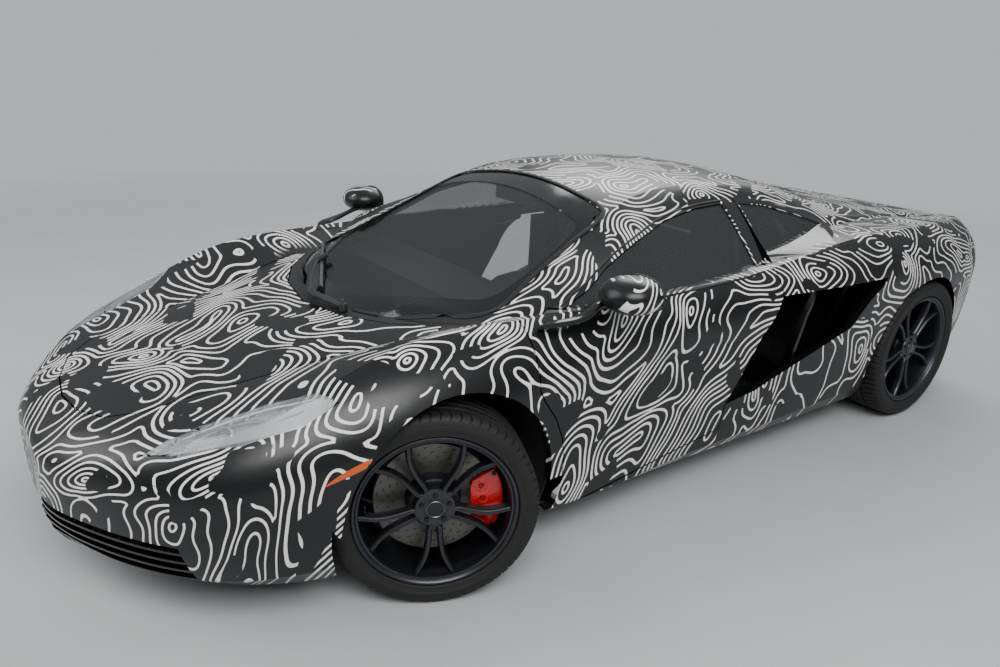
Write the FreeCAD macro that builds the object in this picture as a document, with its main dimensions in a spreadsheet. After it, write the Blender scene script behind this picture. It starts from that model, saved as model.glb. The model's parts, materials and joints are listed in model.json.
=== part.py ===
"""Mid-engined two-seat supercar, parked with its front wheels turned to the right.

Frame: +X forward, +Y to the car's left, +Z up, origin on the ground below the middle of its length.
Lengths are millimetres and angles degrees. The car is an assembly of separate pieces: a carbon tub,
skin panels cut from two lofted outer forms (the lower body and the cabin), glass, lamps, seats,
suspension, wheels, and the doors, lids, air brake, wheels and steering that move.
"""
import FreeCAD, Part
import math
import os
from collections import namedtuple

import Sketcher

Vec = FreeCAD.Vector
doc = FreeCAD.newDocument("supercar")
sheet = doc.addObject("Spreadsheet::Sheet", "sizes")

# Driving dimensions, one cell each
SIZES = {
    "body_length": 4509,
    "body_width": 1908,
    "wheelbase": 2670,
    "front_overhang": 1025,
    "front_track": 1656,
    "rear_track": 1583,
    "kingpin_inset": 70,
    "steer_now": 25,
    "skin": 30,
    "door_skin": 90,
    "glass": 6,
    "glass_sink": 3,
    "shut_gap": 5,
    "seat_gap": 0.3,
    "front_tyre_radius": 323.5,
    "front_tyre_width": 235,
    "front_rim_radius": 241.3,
    "rear_tyre_radius": 345.5,
    "rear_tyre_width": 300,
    "rear_rim_radius": 254,
    "tyre_tread_cut": 34,
    "rim_lip": 12,
    "rim_wall": 9,
    "spoke_depth": 34,
    "spoke_width": 19,
    "hub_radius": 66,
    "cap_radius": 27,
    "face_sink": 34,
    "front_disc_radius": 185,
    "rear_disc_radius": 175,
    "disc_thickness": 30,
    "front_arch_radius": 372,
    "rear_arch_radius": 380,
    "liner_radius": 388,
    "liner_wall": 6,
    "front_liner_inner_y": 522,
    "rear_liner_inner_y": 590,
    "floor_z": 130,
    "floor_lift": 25,
    "tub_front_x": 880,
    "tub_rear_x": -640,
    "tub_half_width": 775,
    "tub_sill_height": 210,
    "tub_wall": 50,
    "engine_length": 760,
    "engine_width": 560,
    "engine_height": 480,
    "pipe_radius": 52,
    "pipe_wall": 4,
    "pipe_spacing": 210,
    "seat_width": 480,
    "mirror_reach": 1046.5,
    "buffer_length": 60,
    "door_inner_y": 745,
    "door_flange": 45,
    "bonnet_flange": 25,
    "flange_depth": 12,
    "wheel_rim_radius": 180,
    "wheel_rim_tube": 15,
}
for number, (alias, value) in enumerate(SIZES.items(), start=1):
    sheet.set("A%d" % number, alias)
    sheet.set("B%d" % number, str(value))
    sheet.setAlias("B%d" % number, alias)
doc.recompute()


def size(alias):
    """The value of one named cell."""
    return float(sheet.get(alias))


HALF_LENGTH = size("body_length") / 2
HALF_WIDTH = size("body_width") / 2
FRONT_X = HALF_LENGTH - size("front_overhang")
REAR_X = FRONT_X - size("wheelbase")
FRONT_Y = size("front_track") / 2
REAR_Y = size("rear_track") / 2
KINGPIN_Y = FRONT_Y - size("kingpin_inset")
FRONT_Z = size("front_tyre_radius")
REAR_Z = size("rear_tyre_radius")
SKIN = size("skin")
GAP = size("shut_gap")
SEAT = size("seat_gap")
REFERENCE_HALF_WIDTH = 967.1
FAR = 3000.0

parts = {}


def keep(name, shape):
    """A finished sub-part as a feature of the document."""
    feature = doc.addObject("Part::Feature", name)
    feature.Label = name
    feature.Shape = shape
    parts[name] = feature
    return feature


def keep_object(name, feature):
    """A sub-part that is already a feature tree of the document."""
    feature.Label = name
    parts[name] = feature
    return feature


def mirrored(shape):
    """The same shape on the other side of the car."""
    return shape.mirror(Vec(0, 0, 0), Vec(0, 1, 0))


def joined(half):
    """One solid from a left half that meets the centre line and its mirror image."""
    return half.fuse(mirrored(half))


def both(shape):
    """Left and right copies as one compound of solids that don't touch."""
    return Part.makeCompound([shape, mirrored(shape)])


def solids_of(shape, least=1000.0):
    """The shape's solids without specks, as one solid or a compound."""
    kept = [s for s in shape.Solids if s.Volume > least]
    return kept[0] if len(kept) == 1 else Part.makeCompound(kept)


def box(x0, x1, y0, y1, z0, z1):
    return Part.makeBox(x1 - x0, y1 - y0, z1 - z0, Vec(x0, y0, z0))


def side_prism(points, y0=0.0, y1=1400.0):
    """An outline of (x, z) points in side view, run across from y0 to y1."""
    loop = [Vec(x, y0, z) for x, z in points]
    return Part.Face(Part.makePolygon(loop + loop[:1])).extrude(Vec(0, y1 - y0, 0))


def plan_prism(points, z0=0.0, z1=1500.0):
    """An outline of (x, y) points in plan, run up from z0 to z1."""
    loop = [Vec(x, y, z0) for x, y in points]
    return Part.Face(Part.makePolygon(loop + loop[:1])).extrude(Vec(0, 0, z1 - z0))


def tube_y(x, z, radius, y0, y1):
    """A cylinder that lies across the car."""
    return Part.makeCylinder(radius, y1 - y0, Vec(x, y0, z), Vec(0, 1, 0))


# Outer form of the lower body, as sections across the car. Each station stands at an anchor plus dx;
# its half section runs floor edge, sill, flank, crest of the wing, crease beside the lid, centre line.
Station = namedtuple(
    "Station",
    "anchor dx floor_z floor_y sill_y sill_z flank_y flank_z crest_y crest_z crease_y crease_z top_z",
)
BODY = [
    Station("nose", 0, 250, 150, 205, 300, 235, 385, 190, 440, 110, 455, 462),
    Station("nose", -55, 168, 250, 340, 230, 400, 385, 340, 482, 220, 508, 516),
    Station("nose", -175, 140, 400, 540, 200, 610, 410, 530, 540, 330, 568, 572),
    Station("nose", -350, 130, 620, 735, 200, 795, 440, 690, 604, 385, 614, 620),
    Station("front", 420, 130, 780, 850, 205, 893, 480, 760, 700, 440, 664, 676),
    Station("front", 220, 130, 820, 898, 225, 936, 520, 768, 782, 492, 704, 722),
    Station("front", 0, 130, 830, 905, 225, 950, 560, 768, 826, 560, 748, 762),
    Station("front", -320, 130, 850, 905, 180, 930, 600, 800, 836, 640, 786, 796),
    Station("middle", 200, 133, 850, 892, 180, 905, 620, 845, 852, 700, 846, 850),
    Station("middle", -330, 133, 850, 890, 190, 925, 640, 842, 872, 690, 872, 876),
    Station("middle", -760, 136, 850, 895, 205, 950, 680, 850, 930, 650, 940, 944),
    Station("rear", 260, 140, 850, 902, 215, 954, 660, 858, 946, 620, 950, 954),
    Station("rear", -40, 150, 850, 910, 230, 954, 640, 848, 942, 600, 944, 946),
    Station("rear", -360, 160, 810, 892, 260, 932, 640, 790, 924, 570, 905, 905),
    Station("tail", 210, 180, 740, 826, 300, 868, 650, 720, 908, 560, 890, 890),
    Station("tail", 60, 230, 610, 700, 340, 748, 660, 630, 888, 470, 884, 884),
    Station("tail", 0, 420, 520, 590, 460, 640, 660, 560, 846, 400, 858, 860),
]
# Outer form of the cabin: belt, side rail, inner edge of the pillar or roof edge, centre line.
Cabin = namedtuple("Cabin", "anchor dx base_z belt_y belt_z rail_y rail_z edge_y edge_z top_z")
CABIN = [
    Cabin("front", 70, 560, 160, 700, 158, 722, 110, 742, 752),
    Cabin("front", -75, 560, 430, 700, 428, 738, 360, 772, 802),
    Cabin("front", -220, 560, 600, 725, 598, 770, 510, 808, 862),
    Cabin("front", -360, 560, 725, 765, 715, 802, 622, 824, 918),
    Cabin("middle", 690, 560, 838, 815, 772, 880, 592, 906, 994),
    Cabin("middle", 500, 560, 852, 840, 706, 950, 560, 996, 1078),
    Cabin("middle", 290, 560, 854, 848, 640, 1018, 516, 1092, 1152),
    Cabin("middle", 90, 560, 842, 850, 584, 1068, 484, 1142, 1188),
    Cabin("middle", -120, 560, 818, 858, 554, 1092, 474, 1156, 1199),
    Cabin("middle", -340, 560, 786, 872, 544, 1098, 470, 1156, 1197),
    Cabin("middle", -560, 560, 752, 892, 548, 1082, 470, 1138, 1178),
    Cabin("middle", -780, 560, 712, 918, 580, 1042, 476, 1096, 1138),
    Cabin("middle", -1000, 560, 676, 944, 612, 996, 482, 1046, 1086),
    Cabin("rear", 200, 560, 650, 950, 608, 970, 478, 1006, 1038),
    Cabin("rear", -40, 560, 630, 944, 590, 954, 466, 972, 992),
    Cabin("rear", -260, 560, 606, 926, 575, 937, 458, 950, 964),
    Cabin("rear", -360, 560, 594, 914, 560, 924, 450, 938, 950),
]


def station_x(anchor, dx):
    """Stations keep their distance to the nose, an axle, the middle of the wheelbase or the tail."""
    middle = (FRONT_X + REAR_X) / 2 + 105
    return {"nose": HALF_LENGTH, "front": FRONT_X, "middle": middle, "rear": REAR_X, "tail": -HALF_LENGTH}[
        anchor
    ] + dx


def bowed(a, b, bulge):
    """An arc from a to b in a section plane, bowed outward by bulge."""
    along = b - a
    out = Vec(0, along.z, -along.y).normalize()
    return Part.Arc(a, (a + b) * 0.5 + out * bulge, b).toShape()


def section(points, bulges, crown_z):
    """The left half of a section across the car, closed on the centre line by a level crown."""
    x = points[0].x
    edges = [Part.makeLine(Vec(x, 0, points[0].z), points[0])]
    for a, b, bulge in zip(points, points[1:], bulges):
        edges.append(Part.makeLine(a, b) if bulge == 0 else bowed(a, b, bulge))
    last = points[-1]
    top = Vec(x, 0, max(crown_z, last.z + 2))
    rise = top.z - last.z
    radius = (last.y ** 2 + rise ** 2) / (2 * rise)
    half_way = Vec(x, last.y / 2, top.z - radius + math.sqrt(radius ** 2 - last.y ** 2 / 4))
    edges.append(Part.Arc(last, half_way, top).toShape())
    edges.append(Part.makeLine(top, Vec(x, 0, points[0].z)))
    return Part.Wire(Part.__sortEdges__(edges))


def body_form(inset):
    """The lower body's outer form, or the same form drawn in by inset on every side."""
    wide = HALF_WIDTH / REFERENCE_HALF_WIDTH
    wires = []
    for s in BODY:
        x = station_x(s.anchor, s.dx) * (1 - inset / HALF_LENGTH)
        ys = [s.floor_y, s.sill_y, s.flank_y, s.crest_y, s.crease_y]
        zs = [s.floor_z + inset, s.sill_z + inset * 0.3, s.flank_z, s.crest_z - inset, s.crease_z - inset]
        draw = [1.0, 1.0, 1.0, 0.7, 0.3]
        points = [Vec(x, y * wide - inset * d, z) for y, z, d in zip(ys, zs, draw)]
        crest_arc = 0.16 * (points[3] - points[2]).Length
        wires.append(section(points, [0, 12, crest_arc, 4], s.top_z - inset))
    return Part.makeLoft(wires, True, False)


def cabin_form(inset, poke=0):
    """The cabin's outer form, or the same form drawn in by inset. Poke lengthens it past its ends."""
    wide = HALF_WIDTH / REFERENCE_HALF_WIDTH
    wires = []
    for number, s in enumerate(CABIN):
        x = station_x(s.anchor, s.dx)
        x += poke if number == 0 else -poke if number == len(CABIN) - 1 else 0
        ys = [s.belt_y, s.belt_y, s.rail_y, s.edge_y]
        zs = [s.base_z - poke, s.belt_z, s.rail_z - inset * 0.4, s.edge_z - inset]
        draw = [1.0, 1.0, 0.9, 0.4]
        points = [Vec(x, y * wide - inset * d, z) for y, z, d in zip(ys, zs, draw)]
        wires.append(section(points, [0, 5, 5], s.top_z - inset))
    return Part.makeLoft(wires, True, False)


outer = body_form(0)
inner = body_form(SKIN)
cabin = cabin_form(0)
cabin_inner = cabin_form(SKIN)
whole = outer.fuse(cabin)
shell = whole.cut(inner.fuse(cabin_inner))
room = body_form(SKIN + SEAT).fuse(cabin_form(SKIN + SEAT))
glass_face = cabin_form(size("glass_sink"))
glass_back = cabin_form(size("glass_sink") + size("glass"), 20)
print("forms", [round(f.Volume / 1e9, 3) for f in (whole, shell, room, glass_face, glass_back)])

# Cutters that several panels share
ARCH_FRONT = (FRONT_X - 5, FRONT_Z - 5, size("front_arch_radius"))
ARCH_REAR = (REAR_X, REAR_Z - 10, size("rear_arch_radius"))
WELL = size("liner_radius") + size("liner_wall")
front_arch = tube_y(*ARCH_FRONT, 560, 1400)
rear_arch = tube_y(*ARCH_REAR, 600, 1400)
front_well = tube_y(FRONT_X, FRONT_Z, WELL, size("front_liner_inner_y") - 6, 880)
rear_well = tube_y(REAR_X, REAR_Z, WELL, size("rear_liner_inner_y") - 6, 880)
wells = front_arch.fuse(rear_arch).fuse(front_well).fuse(rear_well)

# Shut lines, as outlines in side view (x, z) and plan (x, y)
MIDDLE_X = station_x("middle", 0)
DOOR_FRONT_X = FRONT_X - 300
STRIP = 52
SKIRT_TOP_FRONT = 146
SKIRT_TOP_REAR = 250
SIDE_SPLIT_Y = 600
ROOF_SIDE_Y = 790
TAIL_CUT_X = -HALF_LENGTH + 205
ROOF_REAR_X = MIDDLE_X - 640
INTAKE = [
    (MIDDLE_X - 40, 360),
    (MIDDLE_X - 300, 773),
    (REAR_X + 430, 770),
    (REAR_X + 640, 566),
    (MIDDLE_X - 215, 384),
]
BELT = [(MIDDLE_X + 760, 845), (MIDDLE_X + 290, 851), (MIDDLE_X - 120, 860), (MIDDLE_X - 560, 893)]
PANE_FOOT = GAP - SEAT
PILLAR_FOOT_Z = 780
BONNET = [
    (HALF_LENGTH - 112, 0),
    (HALF_LENGTH - 128, 150),
    (HALF_LENGTH - 180, 290),
    (HALF_LENGTH - 270, 365),
    (FRONT_X + 450, 428),
    (FRONT_X + 220, 482),
    (FRONT_X, 556),
    (FRONT_X - 120, 590),
    (FRONT_X - 165, 560),
    (FRONT_X - 40, 420),
    (FRONT_X + 50, 240),
    (FRONT_X + 92, 0),
]
COWL_REAR = [
    (FRONT_X + 42, 0),
    (FRONT_X + 12, 200),
    (FRONT_X - 60, 370),
    (FRONT_X - 190, 520),
    (FRONT_X - 340, 640),
]
SCREEN = [
    (FRONT_X + 42, 0),
    (FRONT_X + 12, 200),
    (FRONT_X - 60, 370),
    (FRONT_X - 190, 520),
    (FRONT_X - 322, 612),
    (MIDDLE_X + 690, 572),
    (MIDDLE_X + 500, 540),
    (MIDDLE_X + 322, 500),
    (MIDDLE_X + 300, 300),
    (MIDDLE_X + 290, 0),
]
SIDE_GLASS = [
    (MIDDLE_X + 728, 845 - PANE_FOOT),
    (MIDDLE_X + 690, 868),
    (MIDDLE_X + 500, 938),
    (MIDDLE_X + 290, 1003),
    (MIDDLE_X + 90, 1053),
    (MIDDLE_X - 120, 1078),
    (MIDDLE_X - 290, 1084),
    (MIDDLE_X - 272, 871 - PANE_FOOT),
    (MIDDLE_X - 120, 860 - PANE_FOOT),
    (MIDDLE_X + 290, 851 - PANE_FOOT),
]
QUARTER_GLASS = [
    (MIDDLE_X - 380, 900),
    (MIDDLE_X - 398, 1078),
    (MIDDLE_X - 560, 1058),
    (MIDDLE_X - 740, 1012),
    (MIDDLE_X - 880, 966),
    (MIDDLE_X - 740, 938),
    (MIDDLE_X - 560, 914),
]
DECK = [(MIDDLE_X - 690, 0), (MIDDLE_X - 700, 440), (REAR_X - 330, 424), (REAR_X - 340, 0)]
DECK_GLASS = [(MIDDLE_X - 760, 0), (MIDDLE_X - 770, 330), (REAR_X + 60, 300), (REAR_X + 20, 0)]
WING = [(REAR_X - 400, 0), (REAR_X - 404, 540), (REAR_X - 560, 566), (REAR_X - 660, 540), (REAR_X - 672, 0)]
LAMP = [
    (FRONT_X + 812, 560),
    (FRONT_X + 735, 656),
    (FRONT_X + 592, 752),
    (FRONT_X + 440, 806),
    (FRONT_X + 330, 812),
    (FRONT_X + 380, 740),
    (FRONT_X + 470, 652),
    (FRONT_X + 640, 590),
]
BUMPER_EDGE = [
    (FRONT_X + 770, 0),
    (FRONT_X + 770, 470),
    (FRONT_X + 700, 600),
    (FRONT_X + 390, 760),
    (FRONT_X + 180, 948),
]


def grown(points, distance):
    """A closed outline grown outward (or drawn in when negative) by distance."""
    loop = [Vec(a, b, 0) for a, b in points]
    wire = Part.makePolygon(loop + loop[:1])
    face = Part.Face(wire)
    if distance == 0:
        return [(v.x, v.y) for v in loop]
    ring = wire.makeOffset2D(distance, 2)
    if (Part.Face(ring).Area > face.Area) != (distance > 0):
        ring = wire.makeOffset2D(-distance, 2)
    return [(v.Point.x, v.Point.y) for v in ring.OrderedVertexes]


def two_sided(points):
    """A half outline that starts and ends on the centre line, with its mirror image."""
    return points + [(x, -y) for x, y in reversed(points) if y > 0]


def arch_strip(radius, z_high, z_low, count):
    """Points behind the front wheel, concentric with the arch, from z_high down to z_low."""
    x0, z0, _ = ARCH_FRONT
    heights = [z_high + (z_low - z_high) * i / (count - 1) for i in range(count)]
    return [(x0 - math.sqrt(radius ** 2 - (z - z0) ** 2), z) for z in heights]


def skirt_top(x):
    """Height of the door's lower edge, which falls towards the front wheel."""
    front_x, rear_x = DOOR_FRONT_X - 120, INTAKE[0][0]
    share = min(1.0, (front_x - x) / (front_x - rear_x))
    return SKIRT_TOP_FRONT + (SKIRT_TOP_REAR - SKIRT_TOP_FRONT) * share


strip = arch_strip(ARCH_FRONT[2] + STRIP, 600, skirt_top(DOOR_FRONT_X - 120), 7)
DOOR = (
    [(DOOR_FRONT_X, 990), (DOOR_FRONT_X, 640)]
    + strip
    + [(INTAKE[0][0], skirt_top(INTAKE[0][0])), (INTAKE[0][0] - 8, INTAKE[0][1])]
    + [(INTAKE[1][0] - 12, INTAKE[1][1]), (INTAKE[1][0] - 30, 990)]
)

door_hole = side_prism(DOOR, size("door_inner_y"))
door_prism = side_prism(grown(DOOR, -GAP), size("door_inner_y") + GAP)
over_belt = side_prism([(FAR, 845)] + BELT + [(-FAR, 893), (-FAR, 1600), (FAR, 1600)], -1400, 1400)
bonnet_hole = plan_prism(two_sided(BONNET), 400)
bonnet_prism = plan_prism(grown(two_sided(BONNET), -GAP), 400)
screen_prism = plan_prism(grown(two_sided(SCREEN), -SEAT), 600)
screen_hole = plan_prism(two_sided(SCREEN), 600)
cowl_outline = [(FRONT_X + 92, 0)] + BONNET[7:11][::-1] + [(FRONT_X - 340, 640)] + COWL_REAR[:4][::-1]
cowl_prism = plan_prism(two_sided(cowl_outline), 600)
cowl_hole = plan_prism(grown(two_sided(cowl_outline), SEAT), 600)
side_glass_prism = side_prism(grown(SIDE_GLASS, -GAP), 380, 950)
side_glass_hole = side_prism(SIDE_GLASS, 380, 950)
quarter_glass_prism = side_prism(grown(QUARTER_GLASS, -SEAT), 380, 950)
quarter_glass_hole = side_prism(QUARTER_GLASS, 380, 950)
deck_hole = plan_prism(two_sided(DECK), 700)
deck_prism = plan_prism(grown(two_sided(DECK), -GAP), 700)
deck_glass_hole = plan_prism(two_sided(DECK_GLASS), 700)
deck_glass_prism = plan_prism(grown(two_sided(DECK_GLASS), -SEAT), 700)
wing_hole = plan_prism(two_sided(WING), 780)
wing_prism = plan_prism(grown(two_sided(WING), -GAP), 780)
lamp_hole = plan_prism(LAMP, 380)
lamp_prism = plan_prism(grown(LAMP, -SEAT), 380)
bumper_plan = BUMPER_EDGE + [(FRONT_X + 180, 1300), (FAR, 1300), (FAR, 0)]
bumper_prism = plan_prism(two_sided(bumper_plan))
bumper_grown = plan_prism(grown(two_sided(bumper_plan), SEAT))
tray_low, tray_high = -HALF_LENGTH + 300, HALF_LENGTH - 420
tray_top = size("floor_z") + SKIN + 12
tray_box = box(tray_low, tray_high, -SIDE_SPLIT_Y, SIDE_SPLIT_Y, 0, tray_top)
tray_side = SIDE_SPLIT_Y + SEAT
tray_hole = box(tray_low - SEAT, tray_high + SEAT, -tray_side, tray_side, 0, tray_top + SEAT)
# Room for the door's top edge to swing under the roof, ahead of and behind the side glass
roof_slack = over_belt.common(box(-FAR, DOOR_FRONT_X, 0, ROOF_SIDE_Y + GAP, 700, 1600))
roof_slack.translate(Vec(0, 0, -GAP))
roof_slack = roof_slack.cut(box(SIDE_GLASS[7][0] + GAP, SIDE_GLASS[0][0] - 3 * GAP, 0, 1400, 700, 1600))
skin_cut = shell.cut(wells)
print("prisms")


def skirt_region(grow):
    """Below the doors and the side intakes, from the front wheel strip to the rear arch."""
    front_x = DOOR_FRONT_X - 120
    return side_prism(
        [(front_x, 0), (front_x, skirt_top(front_x) + grow), (INTAKE[0][0], SKIRT_TOP_REAR + grow)]
        + [(-FAR, SKIRT_TOP_REAR + grow), (-FAR, 0)],
        200,
    )


def pane(prism):
    """Glass of even thickness within an outline, a little below the painted surface."""
    return glass_face.common(prism).cut(glass_back)


def add_skins():
    """The painted and black panels, the glass and the lamps."""
    keep("undertray", joined(solids_of(skin_cut.common(tray_box))))
    nose = skin_cut.common(box(DOOR_FRONT_X - 160, FAR, 0, 1400, 0, 1600))
    # Under the bonnet's edge only a thin flange is left, so that the edge swings clear
    bonnet_frame = plan_prism(grown(two_sided(BONNET), -GAP - size("bonnet_flange")), 400)
    bonnet = nose.common(bonnet_prism).cut(body_form(size("flange_depth")).cut(bonnet_frame))
    keep("bonnet", joined(solids_of(bonnet, 200000)))
    front = nose.cut(bonnet_hole)
    lamp = solids_of(front.common(lamp_prism), 50000)
    keep("headlamps", both(lamp))
    front = front.cut(tray_hole).cut(lamp_hole)

    mouth = side_prism([(FAR, 176), (FAR, 330), (FRONT_X + 560, 318), (FRONT_X + 560, 196)], 168, 690)
    bumper = solids_of(front.common(bumper_prism).cut(mouth), 200000)
    keep("front_bumper", joined(bumper))

    blank = outer.common(box(FRONT_X + 600, FAR, 168 + SEAT, 690 - SEAT, 196, 301)).cut(body_form(70))
    slats = [blank.common(box(0, FAR, 0, 1400, z, z + 9)) for z in (196, 228, 260, 292)]
    slats = Part.makeCompound([s for shape in slats for s in shape.Solids])
    keep("intake_slats", Part.makeCompound(slats.Solids + mirrored(slats).Solids))

    keep("cowl", joined(solids_of(front.common(cowl_prism), 50000)))
    keep("windscreen", joined(solids_of(pane(screen_prism), 50000)))

    fender = front.cut(bumper_grown).cut(cowl_hole).cut(screen_hole).cut(door_hole).cut(skirt_region(SEAT))
    fender = fender.cut(box(-FAR, DOOR_FRONT_X - 12, -780, 780, PILLAR_FOOT_Z, 1600))
    fender = solids_of(fender.common(box(DOOR_FRONT_X - 160, FAR, 0, 1400, 300, 1600)), 200000)
    keep("fender_left", fender)
    keep("fender_right", mirrored(fender))

    # The roof ends above the door; only the screen pillar's foot runs on down, inside the door's front end
    foot = box(MIDDLE_X + 650, DOOR_FRONT_X, 0, size("door_inner_y"), PILLAR_FOOT_Z, 900)
    roof_front_x = DOOR_FRONT_X - 12 - SEAT
    roof = skin_cut.common(box(ROOF_REAR_X, roof_front_x, 0, ROOF_SIDE_Y - SEAT, PILLAR_FOOT_Z, 1600))
    roof = roof.common(over_belt.fuse(foot)).cut(screen_hole).cut(side_glass_hole)
    roof = roof.cut(quarter_glass_hole).cut(cowl_hole)
    roof = roof.cut(side_prism([(DOOR_FRONT_X, 700), (DOOR_FRONT_X, 900), (INTAKE[0][0], 700)], 780))
    keep("roof", joined(solids_of(roof, 200000)))

    door = whole.common(door_prism).cut(over_belt)
    door = door.cut(body_form(size("door_skin"))).cut(cabin_inner).cut(wells)
    door = door.cut(box(-FAR, FAR, 0, size("tub_half_width") + 2 * GAP, 0, 400))
    # The frame inside the door stands back from its edges, so that they swing clear
    frame_prism = side_prism(grown(DOOR, -GAP - size("door_flange")))
    door = door.cut(roof_slack).cut(inner.cut(frame_prism))
    door = solids_of(door, 500000)
    keep("door_left", door)
    keep("door_right", mirrored(door))
    side_pane = solids_of(pane(side_glass_prism).cut(door), 20000)
    keep("door_glass_left", side_pane)
    keep("door_glass_right", mirrored(side_pane))
    keep("quarter_windows", both(solids_of(pane(quarter_glass_prism), 20000)))

    skirt = skin_cut.common(skirt_region(0)).common(box(REAR_X, FRONT_X, SIDE_SPLIT_Y, 1400, 0, 400))
    keep("side_skirts", both(solids_of(skirt, 200000)))

    back = skin_cut.common(box(-FAR, INTAKE[0][0] + 10, 0, 1400, 0, 1600)).cut(tray_hole).cut(wing_hole)
    tail_mouth = box(-FAR, -HALF_LENGTH + 80, -430, 430, 560, 800)
    tail = back.common(box(-FAR, TAIL_CUT_X - SEAT, 0, 1400, 0, 1600)).cut(tail_mouth)
    tail = tail.cut(box(-FAR, FAR, -10, 470 + SEAT, 0, 336))
    keep("tail_lamps", both(tail.common(box(-FAR, -HALF_LENGTH + 60, 445, 640, 722, 758))))
    slot = box(-FAR, -HALF_LENGTH + 60 + SEAT, 445 - SEAT, 640 + SEAT, 722 - SEAT, 758 + SEAT)
    keep("tail_panel", joined(solids_of(tail.cut(slot), 200000)))
    rear = back.common(box(TAIL_CUT_X, FAR, 0, 1400, 200, 1600)).cut(skirt_region(SEAT)).cut(deck_hole)
    rear = rear.cut(box(ROOF_REAR_X - SEAT, FAR, -900, ROOF_SIDE_Y, 700, 1600)).cut(quarter_glass_hole)
    rear = solids_of(rear.cut(door_hole).cut(side_prism(INTAKE, 700)), 200000)
    keep("rear_quarter_left", rear)
    keep("rear_quarter_right", mirrored(rear))

    lid = skin_cut.common(deck_prism)
    keep("engine_cover", joined(solids_of(lid.cut(deck_glass_hole), 100000)))
    keep("cover_glass", joined(solids_of(lid.common(deck_glass_prism), 50000)))
    keep("air_brake", joined(solids_of(shell.common(wing_prism), 50000)))


add_skins()
print("skins")


def term(plus=0.0, **factors):
    """A length as a sum of named cells times factors, with the same sum as an expression."""
    value = plus + sum(size(alias) * factor for alias, factor in factors.items())
    text = " + ".join("sizes.%s * %g" % (alias, factor) for alias, factor in factors.items())
    return value, "%s + %g" % (text, plus) if factors else ""


def drawn(body, name, role, corners, offset=None):
    """A closed outline on one of the body's own planes; each corner is a pair of terms."""
    sketch = body.newObject("Sketcher::SketchObject", name)
    plane = next(f for f in body.Origin.OriginFeatures if f.Role == role)
    sketch.AttachmentSupport = [(plane, "")]
    sketch.MapMode = "FlatFace"
    if offset:
        sketch.AttachmentOffset = FreeCAD.Placement(Vec(0, 0, offset[0]), FreeCAD.Rotation())
        sketch.setExpression("AttachmentOffset.Base.z", offset[1])
    spots = [Vec(a[0], b[0], 0) for a, b in corners]
    count = len(spots)
    for i in range(count):
        sketch.addGeometry(Part.LineSegment(spots[i], spots[(i + 1) % count]), False)
    sketch.addConstraint([Sketcher.Constraint("Coincident", i, 2, (i + 1) % count, 1) for i in range(count)])
    for i, corner in enumerate(corners):
        for kind, axis, (value, text) in (("DistanceX", -2, corner[0]), ("DistanceY", -1, corner[1])):
            if abs(value) < 1e-9:
                sketch.addConstraint(Sketcher.Constraint("PointOnObject", i, 1, axis))
                continue
            index = sketch.addConstraint(Sketcher.Constraint(kind, -1, 1, i, 1, value))
            if text:
                sketch.setExpression("Constraints[%d]" % index, text)
    return sketch


def spun(body, name, corners):
    """A profile of (along the axle, radius) corners turned about the axle."""
    sketch = drawn(body, name + "Profile", "YZ_Plane", corners)
    turn = body.newObject("PartDesign::Revolution", name)
    turn.Profile = sketch
    turn.ReferenceAxis = (sketch, ["H_Axis"])
    turn.Angle = 360
    return turn


# Half of the tyre's section: share of the width from the middle, from which radius, and how far out
TyrePoint = namedtuple("TyrePoint", "width_share radius_of plus")
TYRE = [
    TyrePoint(0.425, "rim", 0.3),
    TyrePoint(0.425, "rim", 13.5),
    TyrePoint(0.462, "rim", 22),
    TyrePoint(0.5, "tyre", -42),
    TyrePoint(0.48, "tyre", -14),
    TyrePoint(0.42, "tyre", -2.5),
    TyrePoint(0.2, "tyre", 0),
]
# One pair of spokes that leave the hub together and part towards the rim: across, along, which end
SpokePoint = namedtuple("SpokePoint", "across along at_rim spoke_widths")
SPOKES = [
    SpokePoint(0, 0, False, 0),
    SpokePoint(-36, 50, False, 0),
    SpokePoint(-62, -12, True, 0),
    SpokePoint(-62, -12, True, 1),
    SpokePoint(-9, 96, False, 0),
    SpokePoint(9, 96, False, 0),
    SpokePoint(62, -12, True, -1),
    SpokePoint(62, -12, True, 0),
    SpokePoint(36, 50, False, 0),
]


def add_tyre(name, end, spot):
    """A low tyre with rounded shoulders, its bead inside the rim's lips."""
    rim, tyre, wide = end + "_rim_radius", end + "_tyre_radius", end + "_tyre_width"
    body = doc.addObject("PartDesign::Body", name)
    radius_of = {"rim": rim, "tyre": tyre}
    side = [(p.width_share, term(p.plus, **{radius_of[p.radius_of]: 1})) for p in TYRE]
    corners = [(term(**{wide: share}), radius) for share, radius in side]
    corners += [(term(**{wide: -share}), radius) for share, radius in reversed(side)]
    spun(body, name + "Carcass", corners)
    body.Placement = spot
    return keep_object(name, body)


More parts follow.
